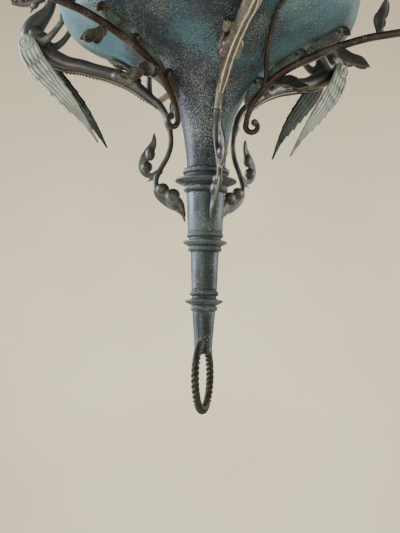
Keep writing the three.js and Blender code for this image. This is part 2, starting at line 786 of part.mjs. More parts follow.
const rodRadiusOut = armRodDiameter / 2;
const rodRadiusIn = armScrollRodDiameter / 2;
const armTop = bowlRimHeight - armTopDrop;
const armRoute = [
  [...besideTrumpet(armScrollRise, 18.5), rodRadiusIn],
  [...besideTrumpet(armScrollRise + 15, 17.4), rodRadiusIn],
  [...besideTrumpet(armScrollRise + 30, 18.6), rodRadiusIn + 0.3],
  [...underBowl(0.4, 20), rodRadiusIn + 0.7],
  [...underBowl(0.48, 17.5), rodRadiusOut - 0.3],
  [...underBowl(0.61, 17), rodRadiusOut],
  [...underBowl(0.75, 19), rodRadiusOut],
  [...underBowl(0.875, 22), rodRadiusOut],
  [...besideRim(-88, 10.5), rodRadiusOut],
  [...besideRim(-84, 50), rodRadiusOut],
  [armReach - 100, 0, armTop - 75, rodRadiusOut],
  [armReach - 42, 0, armTop - 63, rodRadiusOut],
  [armReach - 12, 0, armTop - 45, rodRadiusOut],
  [armReach, 0, armTop - 26, rodRadiusOut],
  [armReach, 0, armTop, rodRadiusOut],
];

const scrollSteps = 6;

// Scroll at the low end of an arm: the rod curls outwards and up into a round eye.
function armScroll(swell) {
  const [startOut, , startUp] = armRoute[0];
  const stations = [];
  for (let step = 0; step <= scrollSteps; step += 1) {
    const angle = Math.PI + (step / scrollSteps) * Math.PI * 1.35;
    const radius = armScrollRadius * (1 - 0.46 * (step / scrollSteps));
    stations.push([
      startOut + armScrollRadius + Math.cos(angle) * radius,
      0,
      startUp + Math.sin(angle) * radius,
      rodRadiusIn - 0.7 * (step / scrollSteps),
    ]);
  }
  const [x, , z] = stations[scrollSteps];
  return limb(stations, 6, 1, swell).add(ball(x, 0, z, rodRadiusIn + 1 + swell));
}

// Tapered web between the rod and the bowl, with a round hook where it meets the bowl.
function armWeb(startShare, hookShare, swell) {
  const start = underBowl(startShare, 18);
  const [hookOut, , hookUp] = underBowl(hookShare, 3);
  const [footOut, , footUp] = underBowl(hookShare + 0.035, 18 + swell);
  const shape = new THREE.Shape();
  shape.moveTo(start[0], start[2]);
  shape.lineTo(hookOut - 3, hookUp);
  shape.lineTo(hookOut + 2, hookUp + 2);
  shape.quadraticCurveTo(hookOut + 13, hookUp - 4, footOut, footUp);
  return plate(shape, webThickness + 2 * swell, 3);
}

const armSides = 6;
const webs = [[0.31, 0.36], [0.42, 0.605], [0.64, 0.885]];

// Rod, scroll and webs of an arm; swollen by a gap, they cut the leaves that spring from it.
function armFrame(swell) {
  const fins = webs.map(([start, hook]) => armWeb(start, hook, swell));
  return joined([limb(armRoute, armSides, 1, swell), armScroll(swell), ...fins]);
}

const armSpace = armFrame(seatGap);
const arm = armFrame(0).subtract(bowlClearance);

// Lobed leaf, cut from the flat, cupped along its middle and curled towards its tip.
function leaf(length, width, curl) {
  const shape = new THREE.Shape();
  shape.moveTo(0, -2.6);
  shape.quadraticCurveTo(length * 0.14, -width * 0.62, length * 0.36, -width * 0.4);
  shape.quadraticCurveTo(length * 0.52, -width * 0.66, length * 0.68, -width * 0.34);
  shape.quadraticCurveTo(length * 0.86, -width * 0.36, length, 0);
  shape.quadraticCurveTo(length * 0.86, width * 0.36, length * 0.68, width * 0.34);
  shape.quadraticCurveTo(length * 0.52, width * 0.66, length * 0.36, width * 0.4);
  shape.quadraticCurveTo(length * 0.14, width * 0.62, 0, 2.6);
  const geometry = new THREE.ExtrudeGeometry(shape, { depth: leafThickness, curveSegments: 2, bevelEnabled: false });
  const position = geometry.attributes.position;
  for (let i = 0; i < position.count; i += 1) {
    const along = position.getX(i);
    const aside = position.getY(i);
    const bend = (along / length) * curl;
    const lift = position.getZ(i) + (aside * aside) / width / 1.6;
    position.setXYZ(i, (length / curl) * Math.sin(bend) - lift * Math.sin(bend), aside,
      (length / curl) * (1 - Math.cos(bend)) + lift * Math.cos(bend));
  }
  return geometry;
}

const armCurve = new THREE.CatmullRomCurve3(armRoute.map(([x, y, z]) => new THREE.Vector3(x, y, z)));

// Each leaf springs from the arm: where on its route, how far it leans from the arm's own direction,
// its size and how far it curls
const leafPlan = {
  inner: { part: 3.4, lean: 53, twist: 68, length: 52, width: 24, curl: 0.8 },
  middle: { part: 6.9, lean: 52, twist: 74, length: 46, width: 26, curl: -0.6 },
  outer: { part: 8.4, lean: -72, twist: 74, length: 47, width: 23, curl: 0.7 },
};

function placedLeaf({ part, lean, twist, length, width, curl }) {
  const along = part / (armRoute.length - 1);
  const root = armCurve.getPoint(along);
  const direction = armCurve.getTangent(along);
  const geometry = leaf(length, width, curl);
  geometry.rotateX(THREE.MathUtils.degToRad(twist));
  geometry.rotateY(THREE.MathUtils.degToRad(lean) - Math.atan2(direction.z, direction.x));
  geometry.translate(root.x, root.y, root.z);
  return solidOf(geometry).subtract(armSpace);
}

function candlePan() {
  const base = armTop + seatGap;
  const edge = panDiameter / 2;
  return turned([
    [0, base],
    [9, base],
    [12, base + panFloor - 1],
    [edge - 6, base + panFloor],
    [edge, base + panDepth],
    [edge - panWall, base + panDepth],
    [edge - 6 - panWall / 2, base + panFloor + panWall],
    [0, base + panFloor + panWall],
  ], smallFacets);
}

function candleCup() {
  const base = armTop + seatGap + panFloor + panWall + seatGap;
  const outer = cupDiameter / 2;
  return turned([
    [0, base],
    [outer - 2, base],
    [outer, base + 3],
    [outer + 2, base + cupHeight - 4],
    [outer + 2, base + cupHeight],
    [cupBoreDiameter / 2, base + cupHeight],
    [cupBoreDiameter / 2, base + cupFloor],
    [0, base + cupFloor],
  ], smallFacets);
}

// Conduit: a thin pipe that leaves the first arm and follows the dish round towards a dragon
function conduit() {
  const radius = conduitDiameter / 2;
  const route = [
    [0.385, 0, 20],
    [0.41, 6.4, 10],
    [0.453, 18.3, 8],
    [0.51, 27.7, 8],
    [0.6, 35, 8],
    [0.72, 41.5, 8],
    [0.84, 45, 8],
    [0.925, 44, 7.5],
    [0.955, 43, 2],
  ].map(([share, turn, drop]) => {
    const [out, , up] = underBowl(share, drop);
    const angle = -THREE.MathUtils.degToRad(turn);
    return [out * Math.cos(angle), out * Math.sin(angle), up, radius];
  });
  return limb(route, 5, 2).subtract(armSpace).subtract(bowlClearance);
}

const leaves = Object.entries(leafPlan).map(([name, plan]) => [name, placedLeaf(plan)]);
const pan = candlePan().translate([armReach, 0, 0]);
const cup = candleCup().translate([armReach, 0, 0]);

addPiece('conduit', conduit(), finishes.arm(), firstArmAzimuth);

for (let i = 0; i < repeats; i += 1) {
  const azimuth = firstArmAzimuth + (i * 360) / repeats;
  addPiece(`arm_${i + 1}`, arm, finishes.arm(), azimuth);
  addPiece(`candle_pan_${i + 1}`, pan, finishes.arm(), azimuth);
  addPiece(`candle_cup_${i + 1}`, cup, finishes.leaf(), azimuth);
  for (const [name, solid] of leaves) {
    addPiece(`leaf_${name}_${i + 1}`, solid, finishes.leaf(), azimuth);
  }
}

export default chandelier;
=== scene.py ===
"""The looks of a bronze chandelier in the Gothic taste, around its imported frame.

Every visible piece is built here in fine mesh code at the places that the frame gives, and finished
with procedural bronze and verdigris. Forms are in millimetres from the foot of the stem, and every
mesh is in metres from the centre of the hanging eye.
"""

import logging
import math
from collections.abc import Callable, Sequence
from dataclasses import dataclass
from enum import Enum
from functools import cached_property

import bpy
import numpy as np
from mathutils import Matrix, Vector


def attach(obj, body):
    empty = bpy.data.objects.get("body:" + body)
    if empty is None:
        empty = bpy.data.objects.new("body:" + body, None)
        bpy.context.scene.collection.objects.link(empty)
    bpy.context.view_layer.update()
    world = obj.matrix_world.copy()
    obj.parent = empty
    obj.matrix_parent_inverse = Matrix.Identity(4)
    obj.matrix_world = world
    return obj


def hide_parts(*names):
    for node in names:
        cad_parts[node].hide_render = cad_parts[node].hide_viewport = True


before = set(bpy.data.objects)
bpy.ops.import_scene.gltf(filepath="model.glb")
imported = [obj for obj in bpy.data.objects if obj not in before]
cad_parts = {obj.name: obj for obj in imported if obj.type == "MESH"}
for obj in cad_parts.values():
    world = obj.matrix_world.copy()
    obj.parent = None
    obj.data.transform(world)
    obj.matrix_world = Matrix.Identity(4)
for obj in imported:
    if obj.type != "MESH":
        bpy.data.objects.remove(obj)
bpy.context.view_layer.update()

log = logging.getLogger("chandelier")

MM = 0.001
EYE_HEIGHT = 784.5
FIXTURE = "fixture"
RING = "ring"
DRAGON_AZIMUTHS = (0.0, 120.0, 240.0)
ARM_AZIMUTHS = (60.0, 180.0, 300.0)
RING_AZIMUTH = -27.0
WINGLESS_DRAGON = 1
ROD_BORE = 4.3
AXIS = 0.01
FIT_GAP = 0.3
CAMERA_TURN = -14.0

Rows = Sequence[Sequence[float]]
Place = tuple[float, float, float]
Outline = list[tuple[float, float]]


def full_turn(count: int, shift: float = 0.0) -> np.ndarray:
    """Angles spread evenly over a circle, in radians."""
    return (np.arange(count) + shift) / count * 2 * math.pi


def rotation(degrees: float, axis: str) -> Matrix:
    """A turn about one axis."""
    return Matrix.Rotation(math.radians(degrees), 3, axis)


def linked(name: str, data: bpy.types.ID) -> bpy.types.Object:
    """A new object in the scene that shows the data."""
    thing = bpy.data.objects.new(name, data)
    bpy.context.scene.collection.objects.link(thing)
    return thing


# Forms: points and faces before they become meshes


@dataclass
class Form:
    """A surface as points in millimetres and faces as rows of point numbers."""

    points: np.ndarray
    faces: list[list[int]]

    @staticmethod
    def joined(forms: Sequence["Form"]) -> "Form":
        """Several forms as one, each keeping its own points."""
        points, faces, start = [], [], 0
        for form in forms:
            points.append(form.points)
            faces.extend([[i + start for i in face] for face in form.faces])
            start += len(form.points)
        return Form(np.vstack(points), faces)

    def turned(self, azimuth: float) -> "Form":
        """The form turned from the ornament's own plane to its azimuth, in degrees from -Y towards +X."""
        angle = math.radians(azimuth - 90.0)
        c, s = math.cos(angle), math.sin(angle)
        spin = np.array([[c, s, 0.0], [-s, c, 0.0], [0.0, 0.0, 1.0]])
        return Form(self.points @ spin, self.faces)

    def mirrored(self) -> "Form":
        """The form reflected across the ornament's own plane, with its faces still pointing out."""
        return Form(self.points * np.array([1.0, -1.0, 1.0]), [face[::-1] for face in self.faces])

    def moved(self, offset: Sequence[float]) -> "Form":
        """The form shifted by an offset."""
        return Form(self.points + np.asarray(offset, float), self.faces)

    @staticmethod
    def tube(rings: np.ndarray) -> "Form":
        """A skin over rings of points, closed by a flat face at each end."""
        rows, columns = rings.shape[:2]
        faces = grid_faces(rows, columns, wrap_columns=True)
        faces += [list(range(columns))[::-1], list(range((rows - 1) * columns, rows * columns))]
        return Form(rings.reshape(-1, 3), faces)

    @staticmethod
    def torus(x: np.ndarray, y: np.ndarray, z: np.ndarray) -> "Form":
        """A skin over grids of coordinates that closes on itself both ways."""
        points = np.stack(np.broadcast_arrays(x, y, z), -1)
        return Form(points.reshape(-1, 3), grid_faces(*points.shape[:2], wrap_rows=True, wrap_columns=True))


def grid_faces(rows: int, columns: int, wrap_rows: bool = False, wrap_columns: bool = False) -> list[list[int]]:
    """Quads over a grid of points that is stored row by row.

    Args:
        rows: Number of rows.
        columns: Number of points in a row.
        wrap_rows: Whether the last row joins the first.
        wrap_columns: Whether each row closes on itself.

    Returns:
        The quads.
    """
    row = np.arange(rows if wrap_rows else rows - 1)
    column = np.arange(columns if wrap_columns else columns - 1)
    r, c = np.meshgrid(row, column, indexing="ij")
    r2, c2 = (r + 1) % rows, (c + 1) % columns
    quads = np.stack([r * columns + c, r * columns + c2, r2 * columns + c2, r2 * columns + c], -1)
    return quads.reshape(-1, 4).tolist()


def smooth_run(stations: Rows, per_span: int) -> np.ndarray:
    """A centripetal Catmull-Rom run through stations, which may carry radii after their three coordinates.

    Args:
        stations: Rows of x, y, z and whatever else is to be eased along.
        per_span: Steps between two stations.

    Returns:
        One row for each step, the last station included.
    """
    knots = np.asarray(stations, float)
    ends = np.vstack([2 * knots[0] - knots[1], knots, 2 * knots[-1] - knots[-2]])
    out = []
    for i in range(len(knots) - 1):
        p0, p1, p2, p3 = ends[i : i + 4]
        gaps = [max(np.linalg.norm((b - a)[:3]), 1e-9) ** 0.5 for a, b in ((p0, p1), (p1, p2), (p2, p3))]
        t0, t1 = 0.0, gaps[0]
        t2, t3 = t1 + gaps[1], t1 + gaps[1] + gaps[2]
        for step in range(per_span):
            t = t1 + (t2 - t1) * step / per_span
            a1 = (t1 - t) / (t1 - t0) * p0 + (t - t0) / (t1 - t0) * p1
            a2 = (t2 - t) / (t2 - t1) * p1 + (t - t1) / (t2 - t1) * p2
            a3 = (t3 - t) / (t3 - t2) * p2 + (t - t2) / (t3 - t2) * p3
            b1 = (t2 - t) / (t2 - t0) * a1 + (t - t0) / (t2 - t0) * a2
            b2 = (t3 - t) / (t3 - t1) * a2 + (t - t1) / (t3 - t1) * a3
            out.append((t2 - t) / (t2 - t1) * b1 + (t - t1) / (t2 - t1) * b2)
    out.append(knots[-1])
    return np.array(out)


def unit(vectors: np.ndarray) -> np.ndarray:
    """Rows scaled to length one."""
    return vectors / np.maximum(np.linalg.norm(vectors, axis=-1, keepdims=True), 1e-12)


def frames_along(path: np.ndarray, aside: Sequence[float] | None) -> tuple[np.ndarray, np.ndarray, np.ndarray]:
    """Tangents and two crosswise directions at each point of a path.

    Args:
        path: Points along the path.
        aside: A fixed crosswise direction, or None to carry one along without twist.

    Returns:
        Tangents, aside directions and up directions.
    """
    tangents = unit(np.gradient(path, axis=0))
    if aside is not None:
        side = unit(np.asarray(aside, float) - tangents * (tangents @ np.asarray(aside, float))[:, None])
    else:
        current = np.array([0.0, 0.0, 1.0]) if abs(tangents[0][2]) < 0.9 else np.array([1.0, 0.0, 0.0])
        rows = []
        for tangent in tangents:
            current = current - tangent * (tangent @ current)
            current = current / np.linalg.norm(current)
            rows.append(current)
        side = np.array(rows)
    return tangents, side, np.cross(tangents, side)


def swept(
    stations: Rows, sides: int = 20, per_span: int = 6, aside: Sequence[float] | None = (0.0, 1.0, 0.0),
    flat: float = 1.0,
) -> Form:
    """A round limb through stations, with domed ends.

    Args:
        stations: Rows of x, y, z and radius.
        sides: Points around the section.
        per_span: Steps between two stations.
        aside: The section's fixed crosswise direction, or None.
        flat: Crosswise radius as a share of the radius.

    Returns:
        The closed limb.
    """
    run = smooth_run(stations, per_span)
    path, radii = run[:, :3], np.maximum(run[:, 3], 1e-5)
    tangents, side, up = frames_along(path, aside)
    dome = np.radians([80, 55, 30, 12])
    head = [(path[0] - tangents[0] * radii[0] * math.sin(a), radii[0] * math.cos(a), 0) for a in dome]
    tail = [(path[-1] + tangents[-1] * radii[-1] * math.sin(a), radii[-1] * math.cos(a), -1) for a in dome[::-1]]
    angles = full_turn(sides, 0.5)
    c, s = np.cos(angles)[:, None] * flat, np.sin(angles)[:, None]
    rows = [*head, *zip(path, radii, range(len(path)), strict=True), *tail]
    return Form.tube(np.array([centre + side[i] * c * r + up[i] * s * r for centre, r, i in rows]))


def ellipsoid(
    centre: Sequence[float], radii: Sequence[float], tilt: float = 0.0, rows: int = 14, columns: int = 22
) -> Form:
    """A rounded mass.

    Args:
        centre: Its centre.
        radii: Its half extents along x, y and z.
        tilt: Degrees that it leans in the ornament's own plane.
        rows: Rings from pole to pole.
        columns: Points in a ring.

    Returns:
        The closed mass.
    """
    lat = np.linspace(-math.pi / 2, math.pi / 2, rows + 1)[1:-1, None]
    lon = full_turn(columns)
    grids = np.broadcast_arrays(np.cos(lat) * np.cos(lon), np.cos(lat) * np.sin(lon), np.sin(lat))
    ring = np.stack(grids, -1).reshape(-1, 3)
    points = np.vstack([ring, [[0, 0, -1], [0, 0, 1]]]) * np.asarray(radii, float)
    faces = grid_faces(rows - 1, columns, wrap_columns=True)
    south, north, last = len(ring), len(ring) + 1, (rows - 2) * columns
    faces += [[south, (i + 1) % columns, i] for i in range(columns)]
    faces += [[north, last + i, last + (i + 1) % columns] for i in range(columns)]
    c, s = math.cos(math.radians(tilt)), math.sin(math.radians(tilt))
    lean = np.array([[c, 0, s], [0, 1, 0], [-s, 0, c]])
    return Form(points @ lean + np.asarray(centre, float), faces)


def spun(outline: Rows, sides: int, relief: Callable | None = None) -> Form:
    """A body turned about the stem's axis from a closed outline, up its outside and down its inside.

    Args:
        outline: Rows of radius and height, the last joining the first.
        sides: Points around.
        relief: Takes radii, heights and angles and gives an extra radius, or None.

    Returns:
        The closed ring-shaped body.
    """
    rows = np.asarray(outline, float)
    angle = full_turn(sides)
    radius, height = (np.repeat(rows[:, k : k + 1], sides, axis=1) for k in range(2))
    if relief is not None:
        radius = radius + relief(radius, height, np.broadcast_to(angle, radius.shape))
    return Form.torus(radius * np.cos(angle), radius * np.sin(angle), height)


def extruded(outline: Rows, thickness: float) -> Form:
    """A plate with its outline in the ornament's own plane.

    Args:
        outline: Rows of x and z, anticlockwise when seen from -Y.
        thickness: How thick it is across the plane.

    Returns:
        The closed plate.
    """
    rows = np.asarray(outline, float)
    sheets = [np.insert(rows, 1, side * thickness / 2, axis=1) for side in (-1, 1)]
    count = len(rows)
    faces = [list(range(count)), list(range(count, 2 * count))[::-1]]
    faces += [[(i + 1) % count, i, i + count, (i + 1) % count + count] for i in range(count)]
    return Form(np.vstack(sheets), faces)


def resampled(line: Rows, count: int) -> np.ndarray:
    """The given number of points spread evenly along a line of points."""
    rows = np.asarray(line, float)
    place = np.r_[0, np.cumsum(np.linalg.norm(np.diff(rows, axis=0), axis=1))]
    wanted = np.linspace(0, place[-1], count)
    return np.stack([np.interp(wanted, place, column) for column in rows.T], -1)


def blade(near: Rows, far: Rows, thickness: float, groove: float) -> Form:
    """A rounded blade between two edges in the ornament's own plane.

    Args:
        near: One edge, as rows of x and z.
        far: The other edge, running the same way.
        thickness: Its thickness along the middle.
        groove: How deep a hollow runs along the middle of each face.

    Returns:
        The closed blade.
    """
    rows, across, rounded_rows = 60, 22, 5
    one, two = resampled(near, rows), resampled(far, rows)
    v = (1 - np.cos(np.linspace(0, math.pi, across))) / 2
    middle = 1 - (2 * v - 1) ** 2
    profile = thickness / 2 * middle**0.45 - groove * middle**3
    end = np.clip(np.minimum(np.arange(rows), np.arange(rows)[::-1]) / rounded_rows, 0.15, 1) ** 0.5
    plane = one[:, None, :] + (two - one)[:, None, :] * v[None, :, None]
    height = profile[None, :] * end[:, None]
    face, back = (np.stack([plane[..., 0], lift, plane[..., 1]], -1) for lift in (height, -height))
    return Form.tube(np.concatenate([face, back[:, ::-1][:, 1:-1]], axis=1))


def lobe(centre: Sequence[float], long: float, wide: float, turn: float) -> Form:
    """A cupped petal of a cast leaf in the ornament's own plane, hollow towards +Y.

    Args:
        centre: The middle of the hollow.
        long: Half its size along X, before it is turned.
        wide: Half its size along Z.
        turn: Degrees that it turns in the plane.

    Returns:
        The closed petal, with a lip, a hollow marked by fine rays and a round back.
    """
    steps, around, lean = 16, 48, -8.0
    share = np.linspace(0.01, 1.0, steps)
    cup = (0.2 * wide + 0.6) * share**2
    lip = 0.8 * np.exp(-(((share - 0.9) / 0.08) ** 2))
    back = cup - 1.9 * np.sqrt(np.clip(1 - share**6, 0, 1)) + 0.5 * np.exp(-(((share - 0.55) / 0.1) ** 2))
    reach = np.r_[share, share[::-1]][:, None]
    height = np.r_[cup + lip, back[::-1]][:, None]
    angle = np.linspace(0, 2 * math.pi, around, endpoint=False)[None, :]
    rays = 0.16 * np.cos(angle * 12) * np.clip(reach * 1.4, 0, 1) * (reach < 0.85)
    form = Form.torus(reach * np.cos(angle) * long, height + rays, reach * np.sin(angle) * wide)
    spin = rotation(lean, "Z") @ rotation(turn, "Y")
    return Form(form.points @ np.array(spin).T + np.asarray(centre, float), form.faces)


def neighbour_means(points: np.ndarray, edges: np.ndarray) -> np.ndarray:
    """The mean of each point's neighbours, where edges are pairs of point numbers."""
    count = np.bincount(edges.ravel(), minlength=len(points)).astype(float)
    total = np.zeros_like(points)
    for axis in range(points.shape[1]):
        for own, other in ((0, 1), (1, 0)):
            total[:, axis] += np.bincount(edges[:, own], points[edges[:, other], axis], minlength=len(points))
    return total / np.maximum(count, 1)[:, None]


def mesh_arrays(mesh: bpy.types.Mesh) -> tuple[np.ndarray, np.ndarray, np.ndarray]:
    """Points, normals and edges of a mesh as arrays."""
    arrays = []
    for rows, label, width, kind in (
        (mesh.vertices, "co", 3, np.float32), (mesh.vertices, "normal", 3, np.float32),
        (mesh.edges, "vertices", 2, np.int32),
    ):
        values = np.empty(len(rows) * width, kind)
        rows.foreach_get(label, values)
        arrays.append(values.reshape(-1, width))
    points, normals, edges = arrays
    return points.astype(float), normals.astype(float), edges


def mesh_of(form: Form, name: str, scale: float = MM, lowered: float = EYE_HEIGHT) -> bpy.types.Mesh:
    """A Blender mesh made of a form.

    Args:
        form: The form.
        name: The mesh's name.
        scale: Metres to one of the form's units.
        lowered: How far the form moves down first, in its own units.

    Returns:
        The mesh.
    """
    mesh = bpy.data.meshes.new(name)
    mesh.from_pydata(((form.points - (0.0, 0.0, lowered)) * scale).tolist(), [], form.faces)
    mesh.update()
    return mesh


def fused(forms: Sequence[Form], voxel: float, easing: int = 3, cut: Sequence[Form] = ()) -> Form:
    """Melts overlapping forms into one cast skin and eases its seams.

    Args:
        forms: The forms that make up the casting.
        voxel: The grain of the skin.
        easing: Rounds of smoothing.
        cut: Forms to take away first.

    Returns:
        The single closed skin.
    """
    meshes = [mesh_of(form, "form", scale=1.0, lowered=0.0) for form in (Form.joined(forms), *cut)]
    body, *tools = (linked("form", mesh) for mesh in meshes)
    for tool in tools:
        body.modifiers.new("cut", "BOOLEAN").object = tool
    remesh = body.modifiers.new("skin", "REMESH")
    remesh.mode = "VOXEL"
    remesh.voxel_size = voxel
    bpy.context.view_layer.update()
    skin = bpy.data.meshes.new_from_object(body.evaluated_get(bpy.context.evaluated_depsgraph_get()))
    points, _, edges = mesh_arrays(skin)
    for share in (0.5, -0.52, 0.5) * easing:
        points = points + share * (neighbour_means(points, edges) - points)
    faces = [list(polygon.vertices) for polygon in skin.polygons]
    for spare in (body, *tools):
        bpy.data.objects.remove(spare)
    return Form(points, faces)


# The bowl's shape, and places that are given from it. Millimetres from the foot of the stem


class BowlProfile:
    """The outside of the bowl: a trumpet that flares into a dish."""

    base = 236.8
    radius = 194.5
    height = 244.0
    foot = 24.4

    def __init__(self) -> None:
        """Lays the smooth outline, and the coarse one that the ornaments are measured from."""
        shape = (
            (self.foot, 0.0), (self.foot + 2.2, 23.2), (self.foot + 13, 71.92), (66.5, 116.0),
            (self.radius * 0.6, self.height * 0.6), (self.radius * 0.91, self.height * 0.715),
            (self.radius, self.height * 0.88), (self.radius - 3, self.height - 6),
        )
        self.knots = np.array(shape) + (0.0, self.base)
        self.smooth = self._along(np.linspace(0, 1, 141))
        self.coarse = self._along(np.linspace(0, 1, 11))

    def _along(self, parts: np.ndarray) -> np.ndarray:
        """Rows of radius and height on the spline through the knots, at places from 0 to 1 along it."""
        last = len(self.knots) - 1
        place = np.minimum(parts * last, last - 1e-9)
        i = place.astype(int)
        t = (place - i)[:, None]
        p0, p1 = self.knots[np.maximum(i - 1, 0)], self.knots[i]
        p2, p3 = self.knots[i + 1], self.knots[np.minimum(i + 2, last)]
        leave, arrive = (p2 - p0) / 2, (p3 - p1) / 2
        cubic = (2 * p1 - 2 * p2 + leave + arrive) * t**3
        return cubic + (3 * p2 - 3 * p1 - 2 * leave - arrive) * t**2 + leave * t + p1

    def under(self, share: float, drop: float) -> Place:
        """A place below the dish, at a share of the bowl's radius from the axis."""
        out = share * self.radius
        return out, 0.0, float(np.interp(out, self.coarse[:, 0], self.coarse[:, 1])) - drop

    def by_trumpet(self, height: float, stand_off: float) -> Place:
        """A place beside the trumpet, at a height above the bowl's foot."""
        level = self.base + height
        return float(np.interp(level, self.coarse[:, 1], self.coarse[:, 0])) + stand_off, 0.0, level

    def by_rim(self, height: float, stand_off: float) -> Place:
        """A place beside the rim, at a height above the bowl's foot."""
        return self.radius + stand_off, 0.0, self.base + height


PROFILE = BowlProfile()
RIM = BowlProfile.base + BowlProfile.height
COVER_TOP = RIM + 58.3
COLUMN_TOP = COVER_TOP + 200.3


def arc(centre: tuple[float, float], radius: float, start: float, end: float, steps: int) -> Outline:
    """Points of an arc in the plane, from one angle to another in degrees."""
    angles = np.radians(np.linspace(start, end, steps + 1))
    return [(centre[0] + radius * math.cos(a), centre[1] + radius * math.sin(a)) for a in angles]


def curve_through(*knots: tuple[float, float], steps: int = 8) -> Outline:
    """A smooth plane curve through points."""
    run = smooth_run([(x, 0.0, z) for x, z in knots], steps)
    return [(float(x), float(z)) for x, _, z in run]


# Shader graphs: expressions on sockets become nodes


def operator(operation: str, reflected: bool = False) -> Callable:
    """A method of Signal that adds one Math node, with the signal second where it is reflected."""

    def method(self: "Signal", other: "Input") -> "Signal":
        """The result of the Math node on this signal and a number or a signal."""
        first, second = (other, self) if reflected else (self, other)
        return self.graph.add("ShaderNodeMath", {"operation": operation}, {0: first, 1: second})

    return method


class Signal:
    """What flows out of one socket of a shader graph. Arithmetic on it adds Math nodes."""

    def __init__(self, graph: "Graph", socket: bpy.types.NodeSocket) -> None:
        """Keeps the graph and the socket."""
        self.graph = graph
        self.socket = socket

    __add__ = __radd__ = operator("ADD")
    __mul__ = __rmul__ = operator("MULTIPLY")
    __sub__ = operator("SUBTRACT")
    __rsub__ = operator("SUBTRACT", reflected=True)

    def clipped(self) -> "Signal":
        """The signal held between 0 and 1."""
        return self.graph.add("ShaderNodeClamp", {}, {"Value": self})

    def eased(self, low: float, high: float) -> "Signal":
        """A smooth step that leaves 0 at the low value and reaches 1 at the high one."""
        settings = {"interpolation_type": "SMOOTHSTEP"}
        return self.graph.add("ShaderNodeMapRange", settings, {"Value": self, "From Min": low, "From Max": high})


Input = Signal | float | tuple
Colour = Place


class Graph:
    """The node tree of one material, seen as a place to write expressions in."""

    def __init__(self, name: str) -> None:
        """Starts an empty material of that name."""
        self.material = bpy.data.materials.new(name)
        self.material.use_nodes = True
        self.tree = self.material.node_tree
        self.tree.nodes.clear()
        self.place = self.add("ShaderNodeTexCoord", {}, {}, "Object")

    def add(self, kind: str, settings: dict, inputs: dict, output: int | str = 0) -> Signal:
        """Adds any node.

        Args:
            kind: The node's type.
            settings: Its properties, set before its sockets.
            inputs: Socket names or numbers, with values or signals.
            output: The socket that is wanted from it.

        Returns:
            The signal from that socket.
        """
        node = self.tree.nodes.new(kind)
        for name, value in settings.items():
            setattr(node, name, value)
        for name, value in inputs.items():
            if isinstance(value, Signal):
                self.tree.links.new(value.socket, node.inputs[name])
            elif isinstance(value, tuple) and len(value) == 3 and node.inputs[name].type == "RGBA":
                node.inputs[name].default_value = (*value, 1.0)
            else:
                node.inputs[name].default_value = value
        return Signal(self, node.outputs[output])

    def noise(self, scale: float, detail: float = 4.0, roughness: float = 0.55, shift: float = 0.0) -> Signal:
        """Cloudy noise over the object.

        Args:
            scale: Cells to a metre.
            detail: Octaves.
            roughness: How much the small octaves count.
            shift: Moves the pattern, so that no two layers agree.

        Returns:
            A value about 0.5.
        """
        place = self.place
        if shift:
            place = self.add("ShaderNodeVectorMath", {"operation": "ADD"}, {0: place, 1: (shift, -shift, shift * 0.7)})
        inputs = {"Vector": place, "Scale": scale, "Detail": detail, "Roughness": roughness}
        return self.add("ShaderNodeTexNoise", {}, inputs, "Fac")

    def attribute(self, name: str) -> Signal:
        """A value that the mesh carries at each point."""
        return self.add("ShaderNodeAttribute", {"attribute_name": name}, {}, "Fac")

    def part(self, axis: str) -> Signal:
        """One coordinate of the place on the object, in metres."""
        return self.add("ShaderNodeSeparateXYZ", {}, {0: self.place}, axis)

    def mix(self, factor: Input, first: Signal | Colour, second: Signal | Colour, blend: str = "MIX") -> Signal:
        """The second colour over the first, as far as the factor says, by one of Blender's ways of mixing."""
        settings = {"data_type": "RGBA", "blend_type": blend, "clamp_factor": True}
        return self.add("ShaderNodeMix", settings, {0: factor, 6: first, 7: second}, 2)

    def finish(self, sockets: dict) -> bpy.types.Material:
        """The material, closed with a Principled shader whose inputs are given by name."""
        shader = self.add("ShaderNodeBsdfPrincipled", {}, sockets)
        output = self.tree.nodes.new("ShaderNodeOutputMaterial")
        self.tree.links.new(shader.socket, output.inputs["Surface"])
        return self.material


def seen(*display: int) -> Colour:
    """A display colour from 0 to 255 as the linear colour that shaders use."""
    return tuple((v / 255 / 12.92) if v <= 10 else ((v / 255 + 0.055) / 1.055) ** 2.4 for v in display)


# Finishes: bronze under its patina


